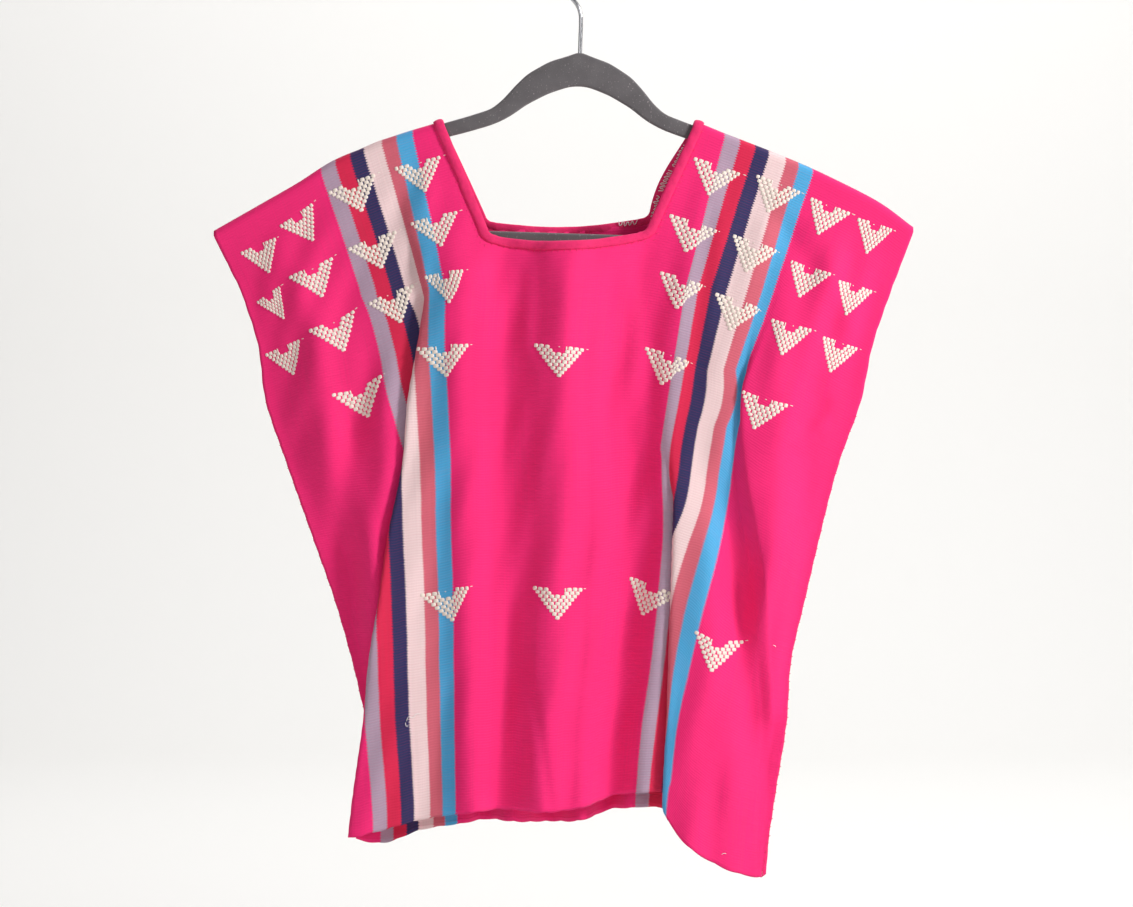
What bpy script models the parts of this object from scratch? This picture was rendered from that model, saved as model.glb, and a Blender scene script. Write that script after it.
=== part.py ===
"""A huipil blouse of hand-woven cotton, hanging on a slim hanger with a wire hook.

One web of cloth is folded over the hanger's arms. It has a square neck hole with a rolled binding, and
its two side edges are sewn together below the armholes. Every point of the cloth is found from two lengths
measured on the flat web: across, from the middle of the web, and down, from the fold on the shoulders.

The tables are in millimetres. "drop" is the height below the inside top of the hook, where the hanger hangs
and the model has its origin. "x" is to the right of the hanger's crown, and "across" runs over the cloth.
"""

import math
from collections import namedtuple

import bpy
import numpy as np
from mathutils import Matrix

MM = 0.001

# The flat web
HALF_WEB = 311.0
LENGTH = 595.0
WALL = 1.2
SEAM_GAP = 0.3

# The neck hole: finished half widths at the shoulder and at the bottom corners, and depths
NECK_TOP_HALF = 94.0
NECK_LEFT_CORNER = -72.0
NECK_RIGHT_CORNER = 76.0
FRONT_NECK_DEPTH = 105.0
BACK_NECK_DEPTH = 90.0
BINDING_WIDTH = 8.0
BINDING_THICK = 3.4
CORNER_IN = 1.6

# The cloth where it bends over an arm of the hanger
ROLL = 4.6
ROLL_RISE = 1.9
FOLD_CLEAR = 0.5
SEAM_DEPTH = 0.85
BEND = 4.0
FOLD_STEP = 4.0

# The hanger
TILT = math.radians(1.8)
CROWN_DROP = 68.4
ARM_DEPTH = 5.5
ARM_ROUND = 2.3
WIRE = 3.6
HOOK_RADIUS = 15.0

# The shoulder line: where the fold on top of the shoulders lies, seen from the front
Shoulder = namedtuple("Shoulder", "across x drop")
SHOULDER = [
    Shoulder(-311, -315.5, 223.2),
    Shoulder(-256, -267.8, 196.0),
    Shoulder(-228, -243.9, 182.3),
    Shoulder(-192, -213.3, 163.0),
    Shoulder(-146, -170.7, 146.5),
    Shoulder(-120, -144.3, 137.5),
    Shoulder(-94, -118.1, 130.5),
    Shoulder(0, -9.8, 126.0),
    Shoulder(94, 98.6, 129.0),
    Shoulder(120, 124.1, 139.0),
    Shoulder(160, 161.5, 153.5),
    Shoulder(203, 200.0, 169.5),
    Shoulder(228, 222.1, 180.0),
    Shoulder(265, 256.3, 197.7),
    Shoulder(311, 287.0, 220.0),
]

# Cross sections of the garment at a few heights: where its warp threads hang, and how deep it is
Section = namedtuple("Section", "drop seam_left stripe_left neck_left neck_right stripe_right blue_right "
                                "seam_right gape body bow")
SECTIONS = [
    Section(275, -292.7, -115.3, -68.7, 43.3, 86.0, 165.3, 268.5, 6.0, 11, 13),
    Section(320, -278.4, -115.5, -73.0, 39.0, 77.8, 149.5, 253.2, 6.0, 13, 13),
    Section(370, -271.6, -112.7, -76.0, 37.0, 71.5, 139.5, 242.8, 4.0, 14, 11),
    Section(420, -254.9, -110.8, -75.0, 38.0, 70.3, 132.6, 224.8, 0.85, 15, 9),
    Section(490, -230.2, -109.9, -74.0, 38.0, 71.1, 120.1, 206.2, 0.85, 15, 7),
    Section(540, -212.6, -108.8, -74.0, 34.0, 66.6, 107.3, 194.4, 0.85, 15, 6),
    Section(595, -196.8, -107.9, -75.0, 30.0, 60.8, 94.0, 181.9, 0.85, 15, 6),
    Section(645, -184.8, -107.5, -76.0, 24.0, 53.3, 83.0, 178.4, 0.85, 15, 6),
    Section(705, -166.0, -106.6, -76.0, 20.0, 48.0, 76.6, 169.0, 0.85, 15, 6),
    Section(790, -136.0, -106.0, -76.0, 18.0, 46.0, 74.0, 155.0, 0.85, 15, 6),
]
ANCHORS = {
    "seam_left": -HALF_WEB,
    "stripe_left": -120.0,
    "neck_left": NECK_LEFT_CORNER,
    "neck_right": NECK_RIGHT_CORNER,
    "stripe_right": 120.0,
    "blue_right": 203.0,
    "seam_right": HALF_WEB,
}

# Pleats that hang from the shoulders: the front edge of the upper layer, how far it laps over the layer
# under it (less than nothing is a slope), and how far it stands in front
Pleat = namedtuple("Pleat", "drop x across lap step")
PLEATS = {
    "left": [
        Pleat(262, -131.0, -137.5, -7, 3.0),
        Pleat(282, -133.5, -139.5, 1, 8.0),
        Pleat(320, -139.2, -144.5, 8, 8.0),
        Pleat(370, -147.9, -155.0, 13, 8.0),
        Pleat(420, -152.0, -162.0, 19, 8.0),
        Pleat(490, -165.7, -179.0, 29, 8.0),
        Pleat(540, -172.6, -188.0, 36, 8.0),
        Pleat(595, -181.5, -200.0, 42, 8.0),
        Pleat(645, -186.2, -207.0, 47, 8.0),
        Pleat(705, -194.6, -223.0, 52, 8.0),
        Pleat(790, -204.0, -238.0, 58, 8.0),
    ],
    "middle": [
        Pleat(275, 103.0, 138.0, -12, 0.0),
        Pleat(370, 86.0, 137.0, -9, 3.0),
        Pleat(420, 76.5, 137.0, -4, 7.0),
        Pleat(455, 79.5, 146.0, 4, 8.0),
        Pleat(490, 78.4, 161.0, 10, 8.0),
        Pleat(540, 77.0, 174.0, 15, 8.0),
        Pleat(595, 75.0, 182.0, 17, 8.0),
        Pleat(645, 73.6, 186.0, 17, 8.0),
        Pleat(705, 70.4, 196.0, 18, 8.0),
        Pleat(790, 72.0, 200.0, 19, 8.0),
    ],
    "right": [
        Pleat(275, 172.0, 211.0, -14, 0.0),
        Pleat(320, 152.0, 206.0, -8, 4.0),
        Pleat(370, 137.0, 201.0, 2, 8.0),
        Pleat(400, 136.0, 203.0, 1, 8.0),
        Pleat(440, 142.0, 214.0, -7, 8.0),
        Pleat(490, 152.0, 238.0, -10, 8.0),
        Pleat(540, 160.0, 260.0, -11, 7.0),
        Pleat(595, 163.0, 279.0, -11, 5.0),
        Pleat(645, 166.0, 291.0, -10, 3.0),
        Pleat(705, 161.0, 298.0, -8, 0.0),
    ],
}
RELAX = {"left": 75.0, "middle": 60.0, "right": 60.0}

# Soft waves that run down the cloth: where a crest is (a trough has a height below nothing), its half width,
# and its height near the neck and at the hem
Wave = namedtuple("Wave", "across_top across_hem half_width top hem")
FRONT_WAVES = [
    Wave(-91, -88, 34, 9, 12),
    Wave(-30, -36, 36, -8, -12),
    Wave(20, 16, 32, 9, 13),
    Wave(54, 56, 24, -7, -12),
    Wave(78, 86, 22, 4, 9),
    Wave(106, 114, 22, -9, -10),
    Wave(-268, -282, 34, 2, 5),
    Wave(-215, -262, 30, -1, -2),
    Wave(170, 226, 26, 2, 6),
    Wave(244, 262, 26, 2, 3),
]
BACK_WAVES = [
    Wave(-96, -84, 32, 7, 11),
    Wave(-44, -42, 34, -8, -12),
    Wave(8, 4, 30, 8, 13),
    Wave(50, 46, 26, -8, -12),
    Wave(88, 84, 26, 7, 11),
    Wave(122, 116, 20, -5, -8),
    Wave(-262, -280, 34, 3, 5),
    Wave(176, 226, 26, 3, 6),
    Wave(248, 264, 28, 2, 3),
]

# The hem, seen from the front
Hem = namedtuple("Hem", "across drop")
FRONT_HEM = [
    Hem(-311, 722), Hem(-275, 728), Hem(-252, 737), Hem(-234, 743), Hem(-203, 739), Hem(-162, 730),
    Hem(-120, 723.5), Hem(-60, 720), Hem(10, 721), Hem(60, 716), Hem(90, 709), Hem(116, 706),
    Hem(172, 708), Hem(200, 716), Hem(226, 740), Hem(254, 764), Hem(280, 774), Hem(311, 782.6),
]
BACK_HEM = [
    Hem(-311, 722), Hem(-262, 736), Hem(-228, 750), Hem(-204, 753), Hem(-162, 742), Hem(-120, 736),
    Hem(-60, 732), Hem(10, 735), Hem(60, 730), Hem(100, 722), Hem(150, 722), Hem(200, 733),
    Hem(254, 762), Hem(311, 782.6),
]

# The hanger's outline, half of it: the arm's top and underside, then the side curve and the bar
Arm = namedtuple("Arm", "x top under")
ARMS = [
    Arm(0, 68.4, 98.5),
    Arm(8, 72.0, 99.0),
    Arm(26, 77.9, 105.5),
    Arm(45, 89.5, 116.0),
    Arm(56, 101.0, 124.5),
    Arm(65, 112.0, 130.0),
    Arm(75, 120.5, 134.5),
    Arm(95, 127.5, 141.0),
    Arm(118, 134.8, 147.5),
    Arm(145, 143.8, 156.5),
    Arm(172, 153.6, 166.5),
    Arm(194, 164.2, 177.5),
]
SIDE_TIP = (220.0, 188.0)
BAR_TOP = 225.5
BAR_BOTTOM = 238.0
SIDE_OUTER = [
    (208.0, 173.0), (216.5, 180.0), SIDE_TIP, (217.5, 206.0), (207.0, 226.0), (192.0, BAR_BOTTOM),
]
SIDE_INNER = [(207.0, 188.0), (204.0, 204.0), (197.0, 217.0), (184.0, BAR_TOP)]

# The faces of a panel: columns between the marks across it, and rows down it
ROW_STEP = 22.0
BORDER_GAP = SEAM_GAP + 0.05

# Colours and finishes
FINISHES = {
    "web": ((0.86, 0.035, 0.21, 1), 0.85, 0.0),
    "binding": ((0.80, 0.030, 0.19, 1), 0.85, 0.0),
    "hanger": ((0.17, 0.155, 0.16, 1), 0.95, 0.0),
    "wire": ((0.75, 0.75, 0.76, 1), 0.2, 1.0),
}


def column(table, name):
    """One column of a table, as an array."""
    return np.array([getattr(row, name) for row in table], float)


def smooth_curve(at, known_at, known):
    """A smooth curve through known values, level past its ends."""
    at = np.clip(at, known_at[0], known_at[-1])
    slopes = np.gradient(known, known_at)
    low = np.clip(np.searchsorted(known_at, at) - 1, 0, len(known_at) - 2)
    span = known_at[low + 1] - known_at[low]
    t = (at - known_at[low]) / span
    return (
        known[low] * (1 + 2 * t) * (1 - t) ** 2
        + known[low + 1] * t * t * (3 - 2 * t)
        + span * (slopes[low] * t * (1 - t) ** 2 - slopes[low + 1] * t * t * (1 - t))
    )


def at_drop(table, name, drop):
    """A table's column read at a height."""
    return smooth_curve(drop, column(table, "drop"), column(table, name))


def ease(t):
    """Nothing up to 0, whole from 1, and smooth between."""
    t = np.clip(t, 0.0, 1.0)
    return t * t * (3 - 2 * t)


def bend_softly(across, knots, values):
    """A line through knots whose corners are rounded, because cloth has no sharp bend."""
    offsets = np.linspace(-BEND, BEND, 9)
    weights = 1.0 - np.abs(offsets) / (BEND * 1.25)
    lines = [np.interp(across + offset, knots, values) for offset in offsets]
    return np.average(lines, axis=0, weights=weights)


def pleat_marks(rows, drop):
    """The four bends of a pleat at a height: across, x and depth of each, from the under layer to the upper."""
    x, across = at_drop(rows, "x", drop), at_drop(rows, "across", drop)
    lap, step = at_drop(rows, "lap", drop), at_drop(rows, "step", drop)
    edge = across - FOLD_STEP / 2
    under = edge - abs(lap)
    tilt = step * min(max(-lap / 30, 0.0), 0.35)
    return [
        (under - FOLD_STEP, x + lap, 0.0),
        (under, x + lap, step / 2 - tilt),
        (edge, x, step / 2 + tilt),
        (edge + FOLD_STEP, x, step),
    ]


def tilted(x, drop):
    """A point of the hanger, which hangs a little askew from its hook, as x and height."""
    return (x * math.cos(TILT) - drop * math.sin(TILT), -x * math.sin(TILT) - drop * math.cos(TILT))


def arm_line(x):
    """How far below the hook the top of the hanger is at a place along it; past its ends there is none."""
    top = [(row.x, row.top) for row in ARMS] + SIDE_OUTER[:3]
    points = [tilted(-x_at, drop) for x_at, drop in top[:0:-1]] + [tilted(x_at, drop) for x_at, drop in top]
    plumb = CROWN_DROP * math.sin(TILT)
    line_x, line_z = np.array(points).T
    return np.interp(x - plumb, line_x, -line_z, left=1000.0, right=1000.0)


class Panel:
    """Half of the web, in front of the hanger or behind it, as points found from lengths on the flat cloth."""

    def __init__(self, side, waves, hem, shift):
        self.side = side
        self.waves = waves
        self.hem = hem
        self.pleats = {name: [row._replace(x=row.x + shift) for row in rows] for name, rows in PLEATS.items()}
        self.across = np.arange(-HALF_WEB, HALF_WEB + 1, 2.0)
        self.down = np.arange(0.0, LENGTH + 0.1, 2.5)
        self.tables = self.hang()

    def section(self, drop):
        """x and depth all across the web at one height below the shoulders."""
        knots = [(ANCHORS[name], float(at_drop(SECTIONS, name, drop))) for name in ANCHORS]
        steps, pleats = np.zeros_like(self.across), []
        for name, rows in self.pleats.items():
            marks = pleat_marks(rows, drop)
            pleats += [(across, x) for across, x, _ in marks]
            first, last = marks[0][0], marks[-1][0]
            knots = [k for k in knots if abs(k[0]) == HALF_WEB or not first - 6 < k[0] < last + 6]
            rise = bend_softly(self.across, [m[0] for m in marks], [m[2] for m in marks])
            steps += rise * (1 - ease((self.across - last - 8) / RELAX[name]))
        knots = sorted(knots + pleats)
        x = bend_softly(self.across, [k[0] for k in knots], [k[1] for k in knots])
        from_seam = HALF_WEB - np.abs(self.across)
        window = ease(from_seam / 60)
        bow = at_drop(SECTIONS, "bow", drop) * np.cos(np.clip(self.across / 150, -1, 1) * math.pi / 2) ** 2
        low = ease((drop - 240) / 480)
        ripple = np.zeros_like(self.across)
        for wave in self.waves:
            centre = wave.across_top + (wave.across_hem - wave.across_top) * low
            height = wave.top + (wave.hem - wave.top) * low
            near = np.clip((self.across - centre) / wave.half_width, -1, 1)
            ripple += height * np.cos(near * math.pi / 2) ** 2
        depth = at_drop(SECTIONS, "gape", drop) + window * (at_drop(SECTIONS, "body", drop) + bow + ripple + steps)
        return x, depth

    def hang(self):
        """x, depth and drop for every pair of lengths across and down the flat cloth."""
        top_x = smooth_curve(self.across, column(SHOULDER, "across"), column(SHOULDER, "x"))
        top_drop = smooth_curve(self.across, column(SHOULDER, "across"), column(SHOULDER, "drop"))
        held = np.abs(self.across) >= NECK_TOP_HALF - 4
        top_drop = np.where(held, np.minimum(top_drop, arm_line(top_x) - ROLL_RISE), top_drop)
        hem_drop = smooth_curve(self.across, column(self.hem, "across"), column(self.hem, "drop"))
        first = SECTIONS[0].drop
        drops = np.arange(110.0, 800.0, 2.5)
        sections = {d: self.section(max(d, first)) for d in drops}
        x_at = np.array([sections[d][0] for d in drops])
        depth_at = np.array([sections[d][1] for d in drops])
        x, depth, drop = (np.zeros((len(self.across), len(self.down))) for _ in range(3))
        for i in range(len(self.across)):
            start = top_drop[i] + ROLL
            hanging = np.linspace(start, hem_drop[i], 260)
            share = np.clip((hanging - start) / (first - start), 0, 1)
            x_line = np.interp(hanging, drops, x_at[:, i]) * share + top_x[i] * (1 - share)
            y_line = np.interp(hanging, drops, depth_at[:, i])
            y_line = ROLL + (y_line - ROLL) * ease(share * 0.5 + 0.5 * share**2)
            run = np.sqrt(np.diff(hanging) ** 2 + np.diff(x_line) ** 2 + np.diff(y_line) ** 2)
            run = np.concatenate([[0.0], np.cumsum(run)])
            roll_length = ROLL * math.pi / 2
            run = roll_length + run / run[-1] * (LENGTH - roll_length)
            turn = np.clip(self.down / ROLL, 0, math.pi / 2)
            over = self.down < roll_length
            x[i] = np.where(over, top_x[i], np.interp(self.down, run, x_line))
            depth[i] = np.where(over, ROLL * np.sin(turn), np.interp(self.down, run, y_line))
            drop[i] = np.where(over, top_drop[i] + ROLL * (1 - np.cos(turn)), np.interp(self.down, run, hanging))
        depth = np.maximum(depth, np.minimum(SEAM_DEPTH, ROLL * np.sin(np.minimum(self.down / ROLL, 1.0))))
        return x, depth, drop

    def read(self, table, across, down):
        """A table's value between its points."""
        i = np.clip((across + HALF_WEB) / 2.0, 0, len(self.across) - 1.001)
        j = np.clip(down / 2.5, 0, len(self.down) - 1.001)
        a, b = np.floor(i).astype(int), np.floor(j).astype(int)
        s, t = i - a, j - b
        return (
            table[a, b] * (1 - s) * (1 - t)
            + table[a + 1, b] * s * (1 - t)
            + table[a, b + 1] * (1 - s) * t
            + table[a + 1, b + 1] * s * t
        )

    def place(self, across, down):
        """Points in metres for lengths across and down the flat cloth."""
        across, down = np.broadcast_arrays(np.asarray(across, float), np.asarray(down, float))
        x, depth, drop = (self.read(table, across, down) for table in self.tables)
        return np.stack([x - CROWN_DROP * math.sin(TILT), -self.side * depth, -drop], axis=-1) * MM

    def drop_at(self, across, down):
        """The drop of one point."""
        return float(self.read(self.tables[2], np.asarray(across, float), np.asarray(down, float)))


def neck_half(down, side, depth, border):
    """Where the neck hole's side edge is, going down from the shoulder, with a border left round it."""
    corner = abs(NECK_LEFT_CORNER) if side < 0 else NECK_RIGHT_CORNER
    share = min(max(down / depth, 0.0), 1.0)
    return side * (NECK_TOP_HALF + (corner - NECK_TOP_HALF) * share + border)


def panel_columns(panel, down, neck_depth, border):
    """Where the columns of a panel's faces stand across it at one row."""
    def pleat_columns(name):
        guess = float(np.mean(column(panel.pleats[name], "across")))
        for _ in range(4):
            marks = pleat_marks(panel.pleats[name], panel.drop_at(guess, down))
            guess = marks[2][0]
        first, second, third, fourth = (mark[0] for mark in marks)
        between = np.linspace(second, third, 4)
        return [first - 4, first + 1.2, *between, fourth - 1.2, fourth + 4]

    left, middle, right = pleat_columns("left"), pleat_columns("middle"), pleat_columns("right")
    neck_left = neck_half(down, -1, neck_depth, border)
    neck_right = neck_half(down, 1, neck_depth, border)
    runs = [
        (-HALF_WEB, left[0], 5),
        (left[-1], neck_left, 3),
        (neck_left, neck_right, 11),
        (neck_right, middle[0], 4),
        (middle[-1], right[0], 3),
        (right[-1], HALF_WEB, 3),
    ]
    spans = [list(np.linspace(start, end, count + 1)) for start, end, count in runs]
    columns = spans[0] + left[1:-1] + spans[1] + spans[2][1:] + spans[3][1:]
    neck = (len(spans[0] + left[1:-1] + spans[1]) - 1, len(spans[0] + left[1:-1] + spans[1] + spans[2][1:]) - 1)
    columns += middle[1:-1] + spans[4] + right[1:-1] + spans[5]
    return columns, neck


def panel_rows(neck_bottom):
    """Where the rows of a panel's faces lie: close together over the shoulder, then evenly."""
    above = list(np.linspace(ROLL * math.pi / 2, neck_bottom, 6))
    below_count = round((LENGTH - neck_bottom) / ROW_STEP)
    below = list(np.linspace(neck_bottom, LENGTH, below_count + 1))[1:]
    return [FOLD_CLEAR, ROLL * math.pi / 4] + above + below, 2 + len(above) - 1


def make_panel(name, panel, neck_depth, collection):
    """A panel's wall, open at the neck."""
    border = BINDING_WIDTH + BORDER_GAP
    neck_bottom = neck_depth + border
    rows, neck_row = panel_rows(neck_bottom)
    grid = []
    for down in rows:
        columns, neck = panel_columns(panel, down, neck_bottom, border)
        grid.append(panel.place(columns, down))
    across_count = len(grid[0])
    faces = []
    for j in range(len(rows) - 1):
        for i in range(across_count - 1):
            if j < neck_row and neck[0] <= i < neck[1]:
                continue
            a, b = j * across_count + i, j * across_count + i + 1
            quad = (a, b, b + across_count, a + across_count)
            faces.append(quad if panel.side < 0 else quad[::-1])
    keep = sorted({index for face in faces for index in face})
    order = {index: place for place, index in enumerate(keep)}
    points = np.concatenate(grid)
    mesh = bpy.data.meshes.new(name)
    mesh.from_pydata(points[keep].tolist(), [], [[order[index] for index in face] for face in faces])
    mesh.shade_smooth()
    thing = bpy.data.objects.new(name, mesh)
    collection.objects.link(thing)
    wall = thing.modifiers.new("Wall", "SOLIDIFY")
    wall.thickness = WALL * MM
    wall.offset = 0
    wall.use_even_offset = False
    return thing


def neck_path(panel, neck_depth):
    """Lengths across and down along the finished neck edge, with the way out into the cloth at each point."""
    side_downs = np.concatenate([[FOLD_CLEAR + 0.3, 3.3, 6.6], np.linspace(18, neck_depth - 8, 6)])
    corner_out = (BINDING_WIDTH + CORNER_IN) / BINDING_WIDTH
    path = [(neck_half(down, -1, neck_depth, 0), down, -1.0, 0.0) for down in side_downs]
    path.append((NECK_LEFT_CORNER + CORNER_IN, neck_depth - CORNER_IN, -corner_out, corner_out))
    for across in np.linspace(NECK_LEFT_CORNER + 8, NECK_RIGHT_CORNER - 8, 13):
        path.append((across, neck_depth, 0.0, 1.0))
    path.append((NECK_RIGHT_CORNER - CORNER_IN, neck_depth - CORNER_IN, corner_out, corner_out))
    path += [(neck_half(down, 1, neck_depth, 0), down, 1.0, 0.0) for down in side_downs[::-1]]
    return path


def make_binding(name, front, back, collection):
    """The rolled strip round the neck hole, an oval section carried along the neck edges of both panels."""
    sides = 8
    rings = []
    ways = [(front, FRONT_NECK_DEPTH, 1), (back, BACK_NECK_DEPTH, -1)]
    for panel, depth, turn in ways:
        path = neck_path(panel, depth)[::turn]
        for across, down, out_across, out_down in path:
            edge = panel.place(across, down)
            border = panel.place(across + out_across * BINDING_WIDTH, down + out_down * BINDING_WIDTH)
            middle = (edge + border) / 2
            half = (border - edge) / 2
            rings.append((middle, half, panel))
    count = len(rings)
    middles = np.array([ring[0] for ring in rings])
    along = np.roll(middles, -1, axis=0) - np.roll(middles, 1, axis=0)
    points = []
    for (middle, half, panel), run in zip(rings, along):
        normal = np.cross(run, half)
        normal /= np.linalg.norm(normal)
        middle = middle - normal * (BINDING_THICK - WALL) / 2 * MM
        for k in range(sides):
            turn = 2 * math.pi * (k + 0.5) / sides
            points.append(middle + half * math.cos(turn) * 1.05 + normal * math.sin(turn) * BINDING_THICK / 2 * MM)
    faces = []
    for j in range(count):
        for k in range(sides):
            a, b = j * sides + k, j * sides + (k + 1) % sides
            c, d = (j + 1) % count * sides + (k + 1) % sides, (j + 1) % count * sides + k
            faces.append((a, b, c, d))
    mesh = bpy.data.meshes.new(name)
    mesh.from_pydata([p.tolist() for p in points], [], faces)
    mesh.shade_smooth()
    thing = bpy.data.objects.new(name, mesh)
    collection.objects.link(thing)
    return thing


def outline_curve(name, outlines, half_depth):
    """A flat closed outline, with any holes, given a thickness."""
    curve = bpy.data.curves.new(name, "CURVE")
    curve.dimensions = "2D"
    curve.fill_mode = "BOTH"
    curve.extrude = half_depth * MM
    for outline in outlines:
        spline = curve.splines.new("POLY")
        spline.points.add(len(outline) - 1)
        for point, (x, z) in zip(spline.points, outline):
            point.co = (x * MM, z * MM, 0, 1)
        spline.use_cyclic_u = True
    return curve


def mesh_from_curve(name, curve, turn, collection):
    """The curve as a mesh with its caps welded on, standing upright."""
    guide = bpy.data.objects.new(name + "_guide", curve)
    collection.objects.link(guide)
    guide.matrix_world = turn
    bpy.context.view_layer.update()
    mesh = bpy.data.meshes.new_from_object(guide.evaluated_get(bpy.context.evaluated_depsgraph_get()))
    mesh.transform(turn)
    bpy.data.objects.remove(guide)
    mesh.name = name
    thing = bpy.data.objects.new(name, mesh)
    collection.objects.link(thing)
    weld = thing.modifiers.new("Weld", "WELD")
    weld.merge_threshold = 0.00005
    return thing


def make_hanger(name, collection):
    """Arms, side curves and bar in one flat piece with rounded edges."""
    top = [(row.x, row.top) for row in ARMS] + SIDE_OUTER
    under = [(row.x, row.under) for row in ARMS] + SIDE_INNER
    outlines = []
    for half in (top, under):
        right = [tilted(x, drop) for x, drop in half]
        left = [tilted(-x, drop) for x, drop in half[:0:-1]]
        outlines.append(right + left)
    curve = outline_curve(name, outlines, ARM_DEPTH / 2)
    upright = Matrix.Rotation(math.pi / 2, 4, "X")
    thing = mesh_from_curve(name, curve, upright, collection)
    bevel = thing.modifiers.new("Rounded edges", "BEVEL")
    bevel.width = ARM_ROUND * MM
    bevel.segments = 2
    bevel.limit_method = "ANGLE"
    bevel.angle_limit = math.radians(60)
    return thing


def hook_route():
    """The wire from the crown: straight up, a bend to the left, then round over the top and down to its tip."""
    middle_drop = HOOK_RADIUS - WIRE / 2
    stem = [(0.0, CROWN_DROP - SEAM_GAP), (0.0, 56.0), (0.0, 44.0), (-0.8, 35.0), (-4.0, 28.0), (-9.5, 22.0)]
    turns = np.radians(np.linspace(195, -28, 16))
    loop = [(HOOK_RADIUS * math.cos(t), middle_drop - HOOK_RADIUS * math.sin(t)) for t in turns]
    return [tilted(x, drop) for x, drop in stem + loop]


def make_hook(name, collection):
    """The wire hook, a bevelled curve with closed ends."""
    route = hook_route()
    curve = bpy.data.curves.new(name, "CURVE")
    curve.dimensions = "3D"
    curve.bevel_depth = WIRE / 2 * MM
    curve.bevel_resolution = 2
    curve.use_fill_caps = True
    spline = curve.splines.new("POLY")
    spline.points.add(len(route) - 1)
    for point, (x, z) in zip(spline.points, route):
        point.co = (x * MM, 0, z * MM, 1)
    thing = bpy.data.objects.new(name, curve)
    collection.objects.link(thing)
    return thing


def finish(thing, name):
    """Give a piece its colour and finish."""
    colour, roughness, metallic = FINISHES[name]
    material = bpy.data.materials.get(name) or bpy.data.materials.new(name)
    material.use_nodes = True
    shader = material.node_tree.nodes["Principled BSDF"]
    shader.inputs["Base Color"].default_value = colour
    shader.inputs["Roughness"].default_value = roughness
    shader.inputs["Metallic"].default_value = metallic
    thing.data.materials.clear()
    thing.data.materials.append(material)


def main():
    """Build the blouse and its hanger."""
    for thing in list(bpy.data.objects):
        bpy.data.objects.remove(thing)
    collection = bpy.data.collections.new("huipil_on_hanger")
    bpy.context.scene.collection.children.link(collection)
    front = Panel(1, FRONT_WAVES, FRONT_HEM, 0.0)
    back = Panel(-1, BACK_WAVES, BACK_HEM, 5.0)
    finish(make_panel("front_panel", front, FRONT_NECK_DEPTH, collection), "web")
    finish(make_panel("back_panel", back, BACK_NECK_DEPTH, collection), "web")
    finish(make_binding("neck_binding", front, back, collection), "binding")
    finish(make_hanger("hanger_body", collection), "hanger")
    finish(make_hook("hanger_hook", collection), "wire")


main()
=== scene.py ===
"""Looks for a hand-woven huipil blouse on a slim hanger.

The web of cloth, its striped bands, the brocaded birds, the sewing and the hanger are built on the forms
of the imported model. Lengths in the tables are millimetres: "across" and "down" are measured on the flat
web, from its middle and from the fold on the shoulders, and "drop" is the height below the hook's inside top.
"""

import logging
import math
from dataclasses import dataclass, field
from enum import Enum
from typing import Callable, NamedTuple, Sequence, Union

import bpy
import numpy as np
from mathutils import Matrix, Vector

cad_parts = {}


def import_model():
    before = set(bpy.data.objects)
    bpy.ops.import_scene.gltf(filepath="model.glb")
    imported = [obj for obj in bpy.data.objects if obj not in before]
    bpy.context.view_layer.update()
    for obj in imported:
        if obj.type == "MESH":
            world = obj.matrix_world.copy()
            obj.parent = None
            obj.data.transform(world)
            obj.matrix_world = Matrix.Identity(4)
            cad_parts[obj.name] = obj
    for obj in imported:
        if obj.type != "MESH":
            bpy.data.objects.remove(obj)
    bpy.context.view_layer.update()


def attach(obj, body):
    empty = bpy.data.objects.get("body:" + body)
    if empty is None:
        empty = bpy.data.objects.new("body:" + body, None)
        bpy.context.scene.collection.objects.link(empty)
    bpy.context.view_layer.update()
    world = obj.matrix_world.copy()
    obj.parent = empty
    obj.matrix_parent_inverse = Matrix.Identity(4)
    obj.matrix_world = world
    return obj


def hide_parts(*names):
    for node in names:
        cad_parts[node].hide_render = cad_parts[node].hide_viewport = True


MM = 0.001
LOG = logging.getLogger("huipil")
Colour = tuple[float, float, float, float]


class Body(Enum):
    """What a piece rides on."""

    ROOT = "root"


class Side(Enum):
    """Which half of the web."""

    FRONT = 1
    BACK = -1


# ---- Small tools for node trees ----


def math_operator(operation: str, turned: bool = False) -> Callable[["Wire", "Value"], "Wire"]:
    """An operator for Wire that adds one Math node.

    Args:
        operation: what the Math node does.
        turned: whether the Wire is its second value.

    Returns:
        The operator.
    """

    def operator(self: "Wire", value: "Value") -> "Wire":
        """The Math node's result."""
        first, second = (value, self) if turned else (self, value)
        return self.graph.add("ShaderNodeMath", {"operation": operation}, {0: first, 1: second})

    return operator


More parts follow.
